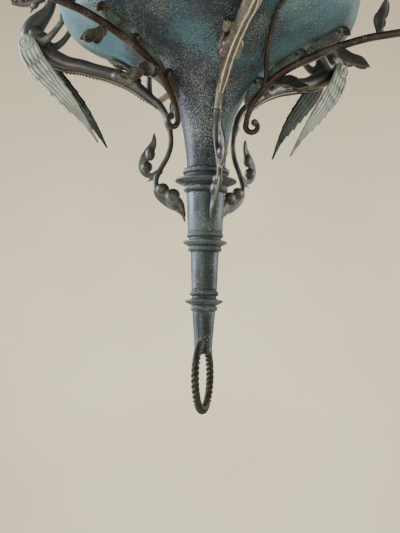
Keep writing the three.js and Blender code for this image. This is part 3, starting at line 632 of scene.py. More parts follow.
@dataclass(frozen=True)
class Patina:
    """Old bronze: a dark skin, a film of another hue, green bloom in the hollows, painted shade darkening the hollows
    and metal on the ridges.

    Colours are display values from 0 to 255. Cover runs from 0, none, to 1, all over. Grain is cells to a metre.
    """

    name: str
    slot: str
    skin: Colour
    film: Colour
    bloom: Colour
    metal: Colour
    film_cover: float = 0.5
    bloom_cover: float = 0.3
    hollow_bloom: float = 0.4
    rubbed: float = 0.6
    speck: Colour = (190, 205, 200)
    speck_cover: float = 0.3
    roughness: float = 0.5
    metallic: float = 0.5
    patches: float = 22.0
    grain: float = 620.0
    grit: float = 0.55
    pitting: float = 0.3
    shading: float = 0.35
    # How far painted shade darkens the hollows.
    hollow_shade: float = 0.7

    def patch_mask(self, graph: Graph, cover: float, shift: float, extra: Input = 0.0) -> Signal:
        """Large soft patches whose edges break up into grains.

        Args:
            graph: The graph to build in.
            cover: How much of the surface they take.
            shift: Which pattern, so that no two layers agree.
            extra: What else thickens them, place by place.

        Returns:
            The mask, from 0 to 1.
        """
        clouds = graph.noise(self.patches, 2.5, 0.5, shift)
        grains = graph.noise(self.grain, 3.0, 0.7, shift * 1.9)
        edge = 0.68 - 0.36 * cover
        return (clouds + (grains - 0.5) * self.grit + extra).eased(edge - 0.06, edge + 0.08)

    def bloom_mask(self, graph: Graph) -> Signal:
        """Where green bloom lies: in hollows, and in patches over the open surface."""
        return self.patch_mask(graph, self.bloom_cover, 3.1, graph.attribute("hollow") * self.hollow_bloom)

    def speck_mask(self, graph: Graph) -> Signal:
        """Where pale grains sit."""
        grains = graph.noise(self.grain * 1.25, 2.0, 0.6, 5.9) + graph.noise(self.patches * 2, 2.0, 0.5, 1.7) * 0.4
        edge = 0.96 - 0.22 * self.speck_cover
        return grains.eased(edge - 0.05, edge + 0.07)

    def material(self) -> bpy.types.Material:
        """The finished material, with colour, roughness, metal and bump from its layers."""
        graph = Graph(self.name)
        film = self.patch_mask(graph, self.film_cover, 11.3)
        # On the bowl this mask also carries painted light on its sides.
        bloom = self.bloom_mask(graph)
        speck = self.speck_mask(graph)
        rub = (graph.attribute("wear") * (0.55 + graph.noise(self.grain * 0.3, 4.0, 0.6, 9.1) * 0.9)).clipped()
        rub = (rub * self.rubbed).clipped()
        tone = graph.noise(self.patches * 2.2, 4.0, 0.6, 2.3)
        colour = graph.mix(film, seen(*self.skin), seen(*self.film))
        dark = graph.mix(1.0, colour, (0.5, 0.5, 0.52), "MULTIPLY")
        colour = graph.mix(tone.eased(0.35, 0.65) * self.shading, colour, dark)
        colour = graph.mix(bloom, colour, seen(*self.bloom))
        colour = graph.mix(speck * 0.8, colour, seen(*self.speck))
        # Painted shade: the colour is darkened in the hollows, where shade falls.
        shaded_colour = graph.mix(1.0, colour, (0.2, 0.19, 0.18), "MULTIPLY")
        colour = graph.mix(graph.attribute("hollow") * self.hollow_shade, colour, shaded_colour)
        colour = graph.mix(rub, colour, seen(*self.metal))
        dull = self.roughness + bloom * 0.2 + speck * 0.15 - rub * 0.2 + (tone - 0.5) * 0.2
        metallic = (self.metallic * (1.0 - bloom * 0.85 - speck * 0.8) + rub * 0.3).clipped()
        height = graph.noise(self.grain, 4.0, 0.65, 4.4) * self.pitting
        height = height + graph.noise(self.patches * 4, 2.0, 0.5, 8.2) + bloom * 0.3 + speck * 0.3
        bump = graph.add("ShaderNodeBump", {}, {"Strength": 0.5, "Distance": 0.0006, "Height": height}, "Normal")
        return graph.finish({
            "Base Color": colour,
            "Roughness": dull.clipped(),
            "Metallic": metallic,
            "Normal": bump,
        })


@dataclass(frozen=True)
class BowlPatina(Patina):
    """The bowl's patina: slate and plum in front, sea-green towards its sides and rim. The green's thickening to the
    camera's left and right is painted light on the lit sides, and the darker front is painted shade.
    """

    # How far the bloom thickens at the sides, as painted light.
    lit_side_bloom: float = 0.25

    def bloom_mask(self, graph: Graph) -> Signal:
        """Bloom that thickens to the left and right as the camera sees the bowl: real verdigris patches, with painted
        light on the lit sides.
        """
        turn = math.radians(CAMERA_TURN)
        across = graph.part("X") * math.cos(turn) + graph.part("Y") * math.sin(turn)
        sides = graph.add("ShaderNodeMath", {"operation": "ABSOLUTE"}, {0: across + 0.014})
        # Painted light: the bloom thickens away from the camera's centre line, lightening the sides and leaving the
        # front dark as painted shade.
        return self.patch_mask(graph, self.bloom_cover, 3.1, sides.eased(0.03, 0.13) * self.lit_side_bloom - 0.06)


class Finish(Enum):
    """Every finish on the chandelier."""

    STEM = Patina(
        "stem_bronze", "stem", skin=(62, 70, 80), film=(74, 88, 98), bloom=(96, 114, 122),
        metal=(170, 176, 172), bloom_cover=0.2, hollow_bloom=0.1, rubbed=0.45, speck=(205, 212, 206),
        speck_cover=0.5, roughness=0.4, patches=16.0,
    )
    BOWL = BowlPatina(
        "bowl_verdigris", "bowl", skin=(48, 57, 74), film=(66, 62, 82), bloom=(80, 122, 142),
        metal=(150, 150, 145), hollow_bloom=0.0, rubbed=0.3, speck=(168, 190, 190), speck_cover=0.75,
        roughness=0.46, metallic=0.4, patches=9.0, grit=1.0, pitting=0.5,
    )
    DRAGON = Patina(
        "dragon_bronze", "dragon", skin=(90, 90, 92), film=(108, 104, 104), bloom=(126, 136, 126),
        metal=(188, 178, 156), film_cover=0.45, bloom_cover=0.06, speck_cover=0.2, roughness=0.38, metallic=0.6,
        patches=30.0, grit=0.35, pitting=0.2,
    )
    # The front dragon's lighter skin is partly real rubbing and partly painted light, for a body that is strongly lit.
    RUBBED_AND_LIT_DRAGON = Patina(
        "rubbed_and_lit_dragon_bronze", "dragon", skin=(112, 105, 101), film=(146, 138, 132), bloom=(150, 156, 142),
        metal=(214, 206, 190), bloom_cover=0.1, rubbed=0.9, roughness=0.36, metallic=0.6, patches=34.0,
        grit=0.5, pitting=0.25,
    )
    RIDGE = Patina(
        "rubbed_ridge", "dragon", skin=(212, 206, 194), film=(232, 227, 216), bloom=(140, 148, 134),
        metal=(224, 218, 204), film_cover=0.6, bloom_cover=0.1, rubbed=0.9, speck_cover=0.1, roughness=0.34,
        metallic=0.7, patches=40.0, grit=0.4, hollow_shade=0.5,
    )
    PAW = Patina(
        "paw_verdigris", "dragon", skin=(104, 100, 90), film=(128, 120, 108), bloom=(150, 156, 138),
        metal=(206, 202, 180), film_cover=0.4, bloom_cover=0.34, rubbed=0.5, metallic=0.3, patches=50.0,
    )
    WING = Patina(
        "wing_verdigris", "wing", skin=(156, 163, 157), film=(184, 190, 183), bloom=(192, 204, 192),
        metal=(236, 236, 224), bloom_cover=0.36, metallic=0.35, patches=26.0, hollow_shade=0.85,
    )
    # The dark finish of the wings' inner faces is painted shade: the inside of a wing lies in shadow.
    LINING = Patina(
        "wing_lining", "wing", skin=(42, 48, 44), film=(56, 60, 54), bloom=(84, 100, 92), metal=(120, 124, 112),
        film_cover=0.45, bloom_cover=0.14, rubbed=0.3, roughness=0.6, metallic=0.3, patches=26.0,
    )
    # The webs' rust and speckled verdigris are real, and their skin paler than the bowl's is painted light on fins that
    # face the light.
    LIT_WEB = Patina(
        "lit_web_verdigris", "arm", skin=(80, 82, 80), film=(108, 92, 88), bloom=(92, 128, 126),
        metal=(176, 178, 166), hollow_bloom=0.0, rubbed=0.4, speck=(176, 190, 182), speck_cover=0.7,
        metallic=0.3, patches=34.0, grit=1.1, hollow_shade=0.4,
    )
    ARM = Patina(
        "arm_bronze", "arm", skin=(62, 55, 54), film=(78, 66, 64), bloom=(104, 112, 106), metal=(150, 130, 110),
        bloom_cover=0.06, rubbed=0.4, speck_cover=0.35, roughness=0.42, patches=24.0,
    )
    LEAF = Patina(
        "leaf_bronze", "leaf", skin=(72, 74, 76), film=(88, 88, 87), bloom=(116, 126, 116),
        metal=(186, 176, 150), bloom_cover=0.12, rubbed=0.7, speck_cover=0.2, roughness=0.4, metallic=0.55,
        patches=40.0, grit=0.4,
    )
    RING = Patina(
        "ring_bronze", "ring", skin=(50, 50, 46), film=(66, 64, 56), bloom=(96, 104, 96), metal=(150, 146, 130),
        bloom_cover=0.14, hollow_bloom=0.1, rubbed=0.7, speck_cover=0.35, metallic=0.45, patches=40.0,
        pitting=0.5,
    )


class Workshop:
    """Makes pieces out of forms, gives them their finish and sets them on the frame."""

    def __init__(self) -> None:
        """Prepares every finish once."""
        self.materials = {finish: finish.value.material() for finish in Finish}
        self.count = 0

    def set_piece(
        self, name: str, form: Form, finish: Finish, node: str = "", body: str = FIXTURE, easing: int = 2,
        wear_gain: float = 1.0,
    ) -> None:
        """Makes one visible piece in place of a CAD node.

        Args:
            name: The piece's name.
            form: Its surface, in place.
            finish: Its finish.
            node: The CAD node that it stands for, where that has another name.
            body: The body that carries it.
            easing: How far ridges and hollows are blurred before they take wear and bloom.
            wear_gain: How strongly curvature shows as wear.
        """
        mesh = mesh_of(form, name)
        mesh.shade_smooth()
        self._mark_ridges(mesh, easing, wear_gain)
        mesh.materials.append(self.materials[finish])
        piece = linked(name, mesh)
        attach(piece, body)
        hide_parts(node or name)
        self.count += 1
        log.info("%s: %d faces", name, len(mesh.polygons))

    @staticmethod
    def _mark_ridges(mesh: bpy.types.Mesh, easing: int, gain: float) -> None:
        """Writes how ridged and how hollow the surface is at each point, after some rounds of blur."""
        points, normals, edges = mesh_arrays(mesh)
        reach = np.linalg.norm(points[edges[:, 0]] - points[edges[:, 1]], axis=1)
        mean_reach = np.bincount(edges.ravel(), np.repeat(reach, 2), minlength=len(points))
        mean_reach /= np.maximum(np.bincount(edges.ravel(), minlength=len(points)), 1)
        bend = ((neighbour_means(points, edges) - points) * normals).sum(1) / np.maximum(mean_reach, 1e-7) ** 2
        bend = bend[:, None]
        for _ in range(easing):
            bend = 0.5 * bend + 0.5 * neighbour_means(bend, edges)
        bend = bend[:, 0] * MM * gain
        for label, values in (("wear", -bend * 1.6 - 0.12), ("hollow", bend * 2.2)):
            mark = mesh.attributes.new(label, "FLOAT", "POINT")
            mark.data.foreach_set("value", np.clip(values, 0.0, 1.0).astype(np.float32))


# Stem


@dataclass(frozen=True)
class Collar:
    """A moulded collar: a bead below and above a disc with a sharp edge."""

    name: str
    base: float
    height: float
    lower_bead: float
    disc: float
    upper_bead: float
    below: float
    above: float

    def outline(self) -> Outline:
        """The outside, from the bottom up."""

        def level(share: float) -> float:
            """The height at a share of the collar's own."""
            return self.base + self.height * share

        def bead(neck: float, reach: float, low: float, high: float) -> Outline:
            """A round bead from one radius out to another, between two shares of the height."""
            middle, half = (level(low) + level(high)) / 2, (level(high) - level(low)) / 2
            turns = np.radians(np.linspace(-90, 90, 21))
            return [(neck + (reach - neck) * math.cos(a) ** 0.8, middle + half * math.sin(a)) for a in turns]

        depth, half = 2.4, 1.5
        low_neck, high_neck = self.lower_bead - depth, self.upper_bead - depth
        edge, middle = self.disc - half, level(0.48)
        span = edge - high_neck
        return [
            (self.below, self.base), (self.below, level(0.03)),
            *bead(low_neck, self.lower_bead, 0.04, 0.27),
            *curve_through((high_neck, level(0.31)), (high_neck + span * 0.3, level(0.33)),
                           (high_neck + span * 0.7, level(0.385)), (edge - half, middle - half * 1.1), steps=7),
            *arc((edge, middle), half, -80, 80, 10),
            *curve_through((edge - half, middle + half), (high_neck + span * 0.5, level(0.56)),
                           (high_neck + span * 0.15, level(0.6)), (high_neck, level(0.66)), steps=7),
            *bead(high_neck, self.upper_bead, 0.74, 0.96),
            (self.above, level(0.985)), (self.above, level(1.0)),
        ]

    def form(self) -> Form:
        """The closed collar, its beads finely milled."""
        reach = (self.lower_bead + self.upper_bead) / 2

        def milled(radius: np.ndarray, height: np.ndarray, angle: np.ndarray) -> np.ndarray:
            """The fine teeth of both beads, and a faint unevenness."""
            share = (height - self.base) / self.height
            on_bead = ((share > 0.05) & (share < 0.26)) | ((share > 0.75) & (share < 0.95))
            teeth = np.cos(angle * round(reach * 2.6)) * 0.28
            return np.where(on_bead & (radius > 6), teeth, 0.0) + np.sin(angle * 5 + height) * 0.05

        inside = [(ROD_BORE, self.base + self.height), (ROD_BORE, self.base)]
        return spun([*self.outline(), *inside], 420, milled)


@dataclass(frozen=True)
class Stem:
    """Everything turned below the bowl, but for the ring."""

    collars: tuple[Collar, ...] = (
        Collar("lower_collar", 53.3, 27.0, 16.8, 24.1, 17.9, 14.5, 16.0),
        Collar("middle_collar", 128.9, 25.0, 21.2, 27.8, 22.9, 17.8, 22.0),
        Collar("upper_collar", 204.5, 32.0, 28.0, 39.4, 29.8, 24.2, 24.4),
    )
    tubes: tuple[tuple[str, float, float, float, float], ...] = (
        ("middle_stem", 80.6, 48.0, 16.0, 17.8),
        ("upper_stem", 154.2, 50.0, 22.0, 24.2),
    )

    def build(self, shop: "Workshop") -> None:
        """Makes the collars, the tubes and the bored foot."""
        for collar in self.collars:
            shop.set_piece(collar.name, collar.form(), Finish.STEM, easing=1)
        for name, base, length, bottom, top in self.tubes:
            rows = [(bottom + (top - bottom) * k / 30, base + length * k / 30) for k in range(31)]
            form = spun([*rows, (ROD_BORE, base + length), (ROD_BORE, base)], 220, self._hammered)
            shop.set_piece(name, form, Finish.STEM, easing=4, wear_gain=0.4)
        shop.set_piece("stem_foot", self._foot(), Finish.STEM, wear_gain=0.7)

    @staticmethod
    def _hammered(radius: np.ndarray, height: np.ndarray, angle: np.ndarray) -> np.ndarray:
        """The faint unevenness of an old tube."""
        wave = np.sin(angle * 3 + height * 0.11) + np.sin(angle * 7 - height * 0.23) * 0.6
        return np.where(radius > 6, wave * 0.05, 0.0)

    @staticmethod
    def _foot() -> Form:
        """The foot, with the ring's bore through it."""
        top, rod_foot, bore, bore_height = 53.0, 26.7, 6.8, 12.0
        outline = [
            (AXIS, 0.0), (10.0, 0.0), *arc((10.0, 1.8), 1.8, -80, 0, 5), (11.8, 4.0), (11.1, 7.5), (12.2, 25.0),
            (13.4, 40.0), (14.5, top), (ROD_BORE, top), (ROD_BORE, rod_foot), (AXIS, rod_foot),
        ]
        pin = swept([(-30, 0, bore_height, bore), (30, 0, bore_height, bore)], 48, 1)
        across = Form(pin.points[:, [1, 0, 2]], pin.faces)
        return fused([spun(outline, 120)], voxel=0.45, easing=2, cut=[across]).turned(RING_AZIMUTH)


@dataclass(frozen=True)
class PullRing:
    """The ring of three twisted strands that hangs through the foot."""

    radius: float = 41.2
    strands: int = 3
    turns: int = 13
    strand: float = 2.95
    offset: float = 2.15

    def build(self, shop: "Workshop") -> None:
        """Makes the ring."""
        foot_radius, bore_height, sides = 11.8, 12.0, 72
        sag = (self.radius - math.sqrt(self.radius**2 - foot_radius**2)) / 2
        steps = self.turns * 44
        around, section = full_turn(steps), full_turn(sides)
        beat = 2 * math.pi / self.strands
        near = (section + beat / 2) % beat - beat / 2
        bulge = self.offset * np.cos(near) + np.sqrt(self.strand**2 - (self.offset * np.sin(near)) ** 2)
        bulge = bulge + 0.11 * np.cos(section * self.strands * 8)
        angle = section[None, :] + self.turns * around[:, None]
        out = self.radius + np.cos(angle) * bulge
        height = np.cos(around)[:, None] * out + bore_height + sag - self.radius
        form = Form.torus(np.sin(around)[:, None] * out, -np.sin(angle) * bulge, height)
        shop.set_piece("pull_ring", form.turned(RING_AZIMUTH), Finish.RING, body=RING)


# Bowl and everything above it


@dataclass(frozen=True)
class Vessel:
    """The bowl with its cover, the column, the rod, the nut and the eye."""

    def build(self, shop: "Workshop") -> None:
        """Makes each of them."""
        rod = [(AXIS, 27), (4, 27), (4, 758), (AXIS, 758)]
        shop.set_piece("bowl", self._bowl(), Finish.BOWL, easing=6, wear_gain=0.5)
        shop.set_piece("bowl_cover", self._cover(), Finish.BOWL, easing=4, wear_gain=0.5)
        shop.set_piece("column", self._column(), Finish.STEM)
        shop.set_piece("tie_rod", spun(rod, 32), Finish.STEM)
        shop.set_piece("lock_nut", self._nut(), Finish.STEM)
        shop.set_piece("hanging_eye", self._eye(), Finish.STEM)

    @staticmethod
    def _bowl() -> Form:
        """The spun shell, slightly uneven as such shells are."""
        wall, floor, lip = 3.0, 8.0, 3.2
        outside, base = PROFILE.smooth, BowlProfile.base
        along = unit(np.gradient(outside, axis=0))
        inner = outside + np.stack([-along[:, 1], along[:, 0]], -1) * wall
        inner = inner[(inner[:, 1] > base + floor + 2) & (inner[:, 1] < RIM - 8)][::-1]
        rim = arc((BowlProfile.radius - 2.6, RIM - lip), lip, -60, 200, 14)

        def uneven(radius: np.ndarray, height: np.ndarray, angle: np.ndarray) -> np.ndarray:
            """Shallow waves from the spinning, but for the bore."""
            wave = np.sin(angle * 3 + height * 0.05) * np.sin(angle * 5 - height * 0.031)
            ripple = np.sin(height * 0.9 + angle) * 0.05
            return np.where(radius > 20, wave * 0.25 + ripple, 0.0)

        outline = [(ROD_BORE, base), *map(tuple, outside[:-3]), *rim, *map(tuple, inner)]
        outline += [(BowlProfile.foot - wall, base + floor), (ROD_BORE, base + floor)]
        return spun(outline, 300, uneven)

    @staticmethod
    def _cover() -> Form:
        """The ogee cover with its rolled edge."""
        base, edge, crown, wall = RIM + FIT_GAP, BowlProfile.radius + 2, 37.0, 3.0
        t = np.linspace(0, 1, 40)[:, None]
        a, b = np.array((edge - 8, base + 6)), np.array((edge * 0.72, base + 32))
        c, d = np.array((edge * 0.5, base + 17.4)), np.array((crown, COVER_TOP - 4))
        ogee = (1 - t) ** 3 * a + 3 * (1 - t) ** 2 * t * b + 3 * (1 - t) * t**2 * c + t**3 * d
        outline = [(edge - 12, base), *arc((edge - 2.2, base + 2.2), 2.2, -90, 90, 10), *map(tuple, ogee)]
        outline += [(crown - 0.6, COVER_TOP - 1), (crown - 2, COVER_TOP), (ROD_BORE, COVER_TOP)]
        outline += [(ROD_BORE, COVER_TOP - 7), *((radius, height - wall) for radius, height in ogee[::-1])]
        return spun(outline, 260)

    @staticmethod
    def _column() -> Form:
        """The baluster column."""
        base, height = COVER_TOP + FIT_GAP, 200.0
        knots = ((21, 0.09), (29, 0.3), (24, 0.48), (13, 0.8), (14, 0.87))
        swell = curve_through(*((radius, base + height * part) for radius, part in knots), steps=12)
        turns = np.radians(np.linspace(-90, 90, 16))
        bead = [(27 + 6 * math.cos(a), base + 8 + 5 * math.sin(a)) for a in turns]
        ring = [(13 + 7 * math.cos(a), COLUMN_TOP - 14 + 6 * math.sin(a)) for a in turns]
        top = [(13, COLUMN_TOP), (ROD_BORE, COLUMN_TOP)]
        return spun([(ROD_BORE, base), (33, base), *bead, *swell, *ring, *top], 180)

    @staticmethod
    def _nut() -> Form:
        """The hexagon nut, its corners turned off."""
        base, half_width, sides = COLUMN_TOP + FIT_GAP, 9.5, 96
        angle = full_turn(sides)
        flats = half_width / np.cos((angle + math.pi / 6) % (math.pi / 3) - math.pi / 6)
        outside = [np.minimum(flats, limit) for limit in (10.0, 11.0, 11.0, 10.0)]
        radius = np.array(outside + [np.full(sides, ROD_BORE)] * 2)
        height = base + np.array([0.0, 0.9, 9.1, 10.0, 10.0, 0.0])[:, None]
        return Form.torus(radius * np.cos(angle), radius * np.sin(angle), height)

    @staticmethod
    def _eye() -> Form:
        """The threaded boss and the eye forged onto it."""
        base = COLUMN_TOP + FIT_GAP + 10.3
        profile = ((AXIS, 0), (10, 0), (10, 9), (8.6, 11.4), (6, 13), (AXIS, 13))
        boss = spun([(radius, base + height) for radius, height in profile], 96)
        angle, around = full_turn(120)[:, None], full_turn(40)
        out = 18 + 4.9 * np.cos(around)[None, :]
        ring = Form.torus(np.sin(angle) * out, 5 * np.sin(around), np.cos(angle) * out + EYE_HEIGHT)
        neck = swept([(0, 0, base + 8, 7.5), (0, 0, base + 13, 6.2), (0, 0, base + 17, 5)], 32, 4)
        return fused([boss, ring, neck], voxel=0.6, easing=4)


# Dragons


@dataclass
class Dragon:
    """One dragon: spine, legs and head in one casting, with its crest, its paws and any wings."""

    number: int
    azimuth: float
    winged: bool
    chest: float = 16.0
    haunch: float = 9.2
    belly: float = 9.3
    teeth: int = 38
    hind_aside: float = 9.0
    fore_aside: float = 17.0
    hind_paw: Place = PROFILE.under(0.627, 1.6)
    fore_paw: Place = PROFILE.by_rim(204, 3)

    def build(self, shop: "Workshop") -> None:
        """Makes the casting, and its two wings where they have stayed on."""
        name = f"dragon_{self.number}"
        limbs = [swept(self._spine(), 26, 5), *self._head()]
        for hand in (1, -1):
            limbs += self._hind_leg(hand) + self._foreleg(hand)
        casting = fused(limbs, voxel=0.8, easing=1).turned(self.azimuth)
        ridges = [self._rail(3.2), self._rail(-3.2)] + ([self._saw()] if self.winged else [])
        crest = Form.joined(ridges).turned(self.azimuth)
        paws = Form.joined([fused(self._paws(hand), voxel=0.55, easing=2) for hand in (1, -1)])
        # The wingless front dragon takes the lighter finish: partly real rubbing, partly painted light.
        skin, ridge = (Finish.DRAGON, Finish.DRAGON) if self.winged else (Finish.RUBBED_AND_LIT_DRAGON, Finish.RIDGE)
        shop.set_piece(name, casting, skin, easing=3)
        shop.set_piece(f"{name}_crest", crest, ridge, name)
        shop.set_piece(f"{name}_paws", paws.turned(self.azimuth), Finish.PAW, name)
        for hand, side in ((1, "left"), (-1, "right")) if self.winged else ():
            wing, node = Wing(hand), f"wing_{self.number}_{side}"
            shop.set_piece(node, wing.form().turned(self.azimuth), Finish.WING, easing=1)
            # Each wing's inner face is a separate dark piece, painted shade where the wing's inside lies in shadow.
            shop.set_piece(f"{node}_lining", wing.painted_shade_lining().turned(self.azimuth), Finish.LINING, node, easing=1)

    def _spine(self) -> list[tuple[float, float, float, float]]:
        """Stations of the spine from the tail's tip to the snout."""
        p, chest, neck, haunch, belly = PROFILE, self.chest, 7.5, self.haunch, self.belly
        return [
            (*p.by_trumpet(61, 17), 4.2), (*p.by_trumpet(72, 17.5), 4.4), (*p.by_trumpet(85.5, 19.5), 5.1),
            (*p.under(0.41, 26), 6.1), (*p.under(0.483, 23.5), haunch - 2.1), (*p.under(0.555, 21), haunch - 1),
            (*p.under(0.627, 20.5), haunch), (*p.under(0.71, 22), haunch - 0.6), (*p.under(0.8, 24.5), belly - 0.6),
            (*p.under(0.9, 29), belly), (*p.by_rim(150.5, 1), belly + 1), (*p.by_rim(158, 17.5), chest - 4.6),
            (*p.by_rim(167, 35.5), chest - 3), (*p.by_rim(179, 50.5), chest - 0.5),
            (*p.by_rim(192, 56), chest), (*p.by_rim(206, 51.5), chest - 1.5), (*p.by_rim(217, 41.5), chest - 4.5),
            (*p.by_rim(226, 33), neck + 1), (*p.by_rim(237, 29), neck), (*p.by_rim(248, 31), neck + 0.8),
            (*p.by_rim(257, 39), neck + 3), (*p.by_rim(259.5, 52), neck + 3.2), (*p.by_rim(257, 66), neck + 0.6),
            (*p.by_rim(253, 79), neck - 1.4), (*p.by_rim(250, 87.4), 4.4),
        ]

    def _beneath(self, part: float, reach: float, aside: float = 0.0) -> np.ndarray:
        """A point under the tail or belly.

        Args:
            part: How far along the crest, from 0 to 1.
            reach: How far below the skin.
            aside: How far beside the middle.

        Returns:
            The point, in the dragon's own plane or beside it.
        """
        place = np.linspace(0, 1, len(self.crest_run))
        x, z, radius, down_x, down_z = (float(np.interp(part, place, column)) for column in self.crest_run.T)
        out = math.sqrt(max(radius**2 - aside**2, 1.0)) + reach
        return np.array([x + down_x * out, aside, z + down_z * out])

    @cached_property
    def crest_run(self) -> np.ndarray:
        """The stretch of spine that carries the crest: place, radius and the way down, point by point."""
        span = smooth_run(self._spine(), 12)[24:136]
        along = unit(np.gradient(span[:, :3], axis=0))
        return np.stack([span[:, 0], span[:, 2], span[:, 3], along[:, 2], -along[:, 0]], -1)

    def _saw(self) -> Form:
        """Saw teeth along the under side of tail and belly."""
        outer, inner = [], []
        for step in range(self.teeth * 2 + 1):
            part = step / (self.teeth * 2)
            fade = min(1.0, part * 7, (1 - part) * 7)
            outer.append(self._beneath(part, (3.9 if step % 2 else 0.3) * fade)[[0, 2]])
            inner.append(self._beneath(part, -2.6)[[0, 2]])
        return extruded([*map(tuple, outer), *map(tuple, inner[::-1])], 3.6)

    def _rail(self, aside: float) -> Form:
        """One of the two thin ridges beside the teeth, notched all along."""
        stations = []
        for step in range(self.teeth * 4 + 1):
            part = step / (self.teeth * 4)
            fade = min(1.0, part * 9, (1 - part) * 9)
            place = self._beneath(part, 0.8 + 0.35 * (step % 2), aside * (0.55 + 0.45 * fade))
            stations.append((*place, 0.75 + 0.45 * fade))
        return swept(stations, 10, 3)

    def _hind_leg(self, hand: int) -> list[Form]:
        """A haunch, a folded leg and a paw that grips the dish."""
        (out, _, up), side = self.hind_paw, hand * self.hind_aside
        leg = [
            (out - 4, side * 0.5, up - 21, self.haunch - 1), (out - 17, side * 0.9, up - 28, 6.2),
            (out - 24, side * 1.05, up - 24, 4.4), (out - 19, side * 1.05, up - 15, 3.5),
            (out - 9, side, up - 6.5, 3.5), (out, side, up - 2, 4.4), (out + 4, side, up - 0.5, 3.6),
        ]
        thigh = ellipsoid((out - 3, side * 0.75, up - 20), (11, 7, 8.5), 20)
        return [swept(leg, 18, 5), thigh]

    def _paws(self, hand: int) -> list[Form]:
        """The hind and the fore paw of one side, each a ball and four toes."""
        (hind_out, _, hind_up), (fore_out, _, fore_up) = self.hind_paw, self.fore_paw
        hind, fore = hand * self.hind_aside, hand * self.fore_aside
        return [
            ellipsoid((hind_out + 1, hind, hind_up - 2.4), (6, 5.2, 4.4), 18),
            ellipsoid((fore_out + 1.8, fore, fore_up + 1), (4.6, 5.2, 6)),
            *self._toes((hind_out + 2, hind, hind_up - 2.2), (1.0, 0.0, 0.33), 12.5, 2.3),
            *self._toes((fore_out + 1.5, fore, fore_up + 2), (-0.22, 0.0, 1.0), 11.5, 2.2),
        ]

    def _foreleg(self, hand: int) -> list[Form]:
        """A shoulder, an arm with its elbow below and a paw on the rim."""
        (out, _, up), side = self.fore_paw, hand * self.fore_aside
        leg = [
            (out + 44, side * 0.5, up - 15, 8.5), (out + 27, side * 0.85, up - 24, 6.2),
            (out + 16, side, up - 18, 4.8), (out + 7, side, up - 8, 4.2),
            (out + 2, side, up, 4.6), (out + 1.2, side, up + 4, 4.0),
        ]
        shoulder = ellipsoid((out + 42, side * 0.62, up - 12), (12, 7, 10), 30)
        return [swept(leg, 18, 5), shoulder]

    @staticmethod
    def _toes(root: Sequence[float], ahead: Sequence[float], reach: float, girth: float) -> list[Form]:
        """Four toes with claws, spread from a paw.

        Args:
            root: The middle of the paw.
            ahead: The way that the toes point.
            reach: Their length.
            girth: Radius of a toe.

        Returns:
            The toes.
        """
        start, way = np.array(root), np.array(ahead) / np.linalg.norm(ahead)
        lift = np.cross(way, (0.0, 1.0, 0.0))
        toes = []
        for spread in (-1.5, -0.5, 0.5, 1.5):
            stations = []
            for along, arch, radius in (
                (0.0, 0.0, girth), (0.4, -1.2, girth), (0.7, -0.7, girth * 0.8), (1.0, 0.9, 0.7),
            ):
                place = start + way * reach * along * (1 - abs(spread) * 0.07) + lift * arch
                place = place + np.array([0.0, spread * (2.0 + 1.6 * along), 0.0])
                stations.append((*place, radius))
            toes.append(swept(stations, 12, 4))
        return toes

    def _head(self) -> list[Form]:
        """Skull, brows, eyes, nostrils, jaw, teeth, beard, ears, horns and the spikes of the neck."""

        def at(height: float, stand_off: float, aside: float = 0.0) -> Place:
            """A place beside the bowl's rim."""
            out, _, up = PROFILE.by_rim(height, stand_off)
            return out, aside, up

        jaw = swept([(*at(247, 36), 6), (*at(240.5, 56), 5.2), (*at(239.5, 72), 4.2), (*at(242.5, 86), 2.8)], 18, 5)
        forms = [jaw, ellipsoid(at(260, 50), (15, 9.6, 9.4), -6), ellipsoid(at(252.5, 83.4), (8, 6.2, 4.6), 6)]
        forms += [ellipsoid(at(238, 52), (5.5, 5, 7.5), 20), ellipsoid(at(242, 72), (4.5, 4.4, 5.6), 10)]
        forms += [swept([(*at(238, 60), 3.4), (*at(231, 57), 2.6), (*at(226, 60), 0.8)], 14, 4)]
        for hand in (1, -1):
            brow = [(*at(264, 48, hand * 7.5), 2.4), (*at(268, 57, hand * 7.8), 2.6), (*at(264, 67, hand * 5.6), 1.6)]
            horn = [
                (*at(263, 48, hand * 6), 3.8), (*at(271, 40, hand * 8.2), 3.2), (*at(277.5, 31, hand * 10.4), 2.2),
                (*at(281, 22, hand * 12), 0.8),
            ]
            ear = [(*at(257, 42, hand * 8), 2.8), (*at(258, 34, hand * 13), 2.4), (*at(262, 27, hand * 17), 0.7)]
            lip = [(*at(250, 60, hand * 6), 1.6), (*at(248, 74, hand * 5.4), 1.5), (*at(249, 88, hand * 4.4), 1.4)]
            eye = ellipsoid(at(261.5, 61, hand * 6.6), (3.2, 2.4, 3.0))
            nostril = ellipsoid(at(256.5, 87, hand * 3), (2.4, 1.9, 1.9))
            forms += [swept(brow, 14, 4), swept(horn, 16, 5), swept(ear, 14, 4, flat=0.5), swept(lip, 12, 4)]
            forms += [eye, nostril]
            for step in range(4):
                ahead, narrow = step * 5.5, step * 0.35
                root, tip = at(247.6, 66 + ahead, hand * (5.0 - narrow)), at(243.8, 66.5 + ahead, hand * (4.6 - narrow))
                forms.append(swept([(*root, 1.5), (*tip, 0.4)], 10, 3))
        for step in range(5):
            root = at(266 - step * 7.5, 41 - step * 5.5 + (step > 2) * 6)
            forms.append(swept([(*root, 2.6), (*at(271 - step * 7, 34 - step * 4.5), 0.7)], 12, 3))
        return forms


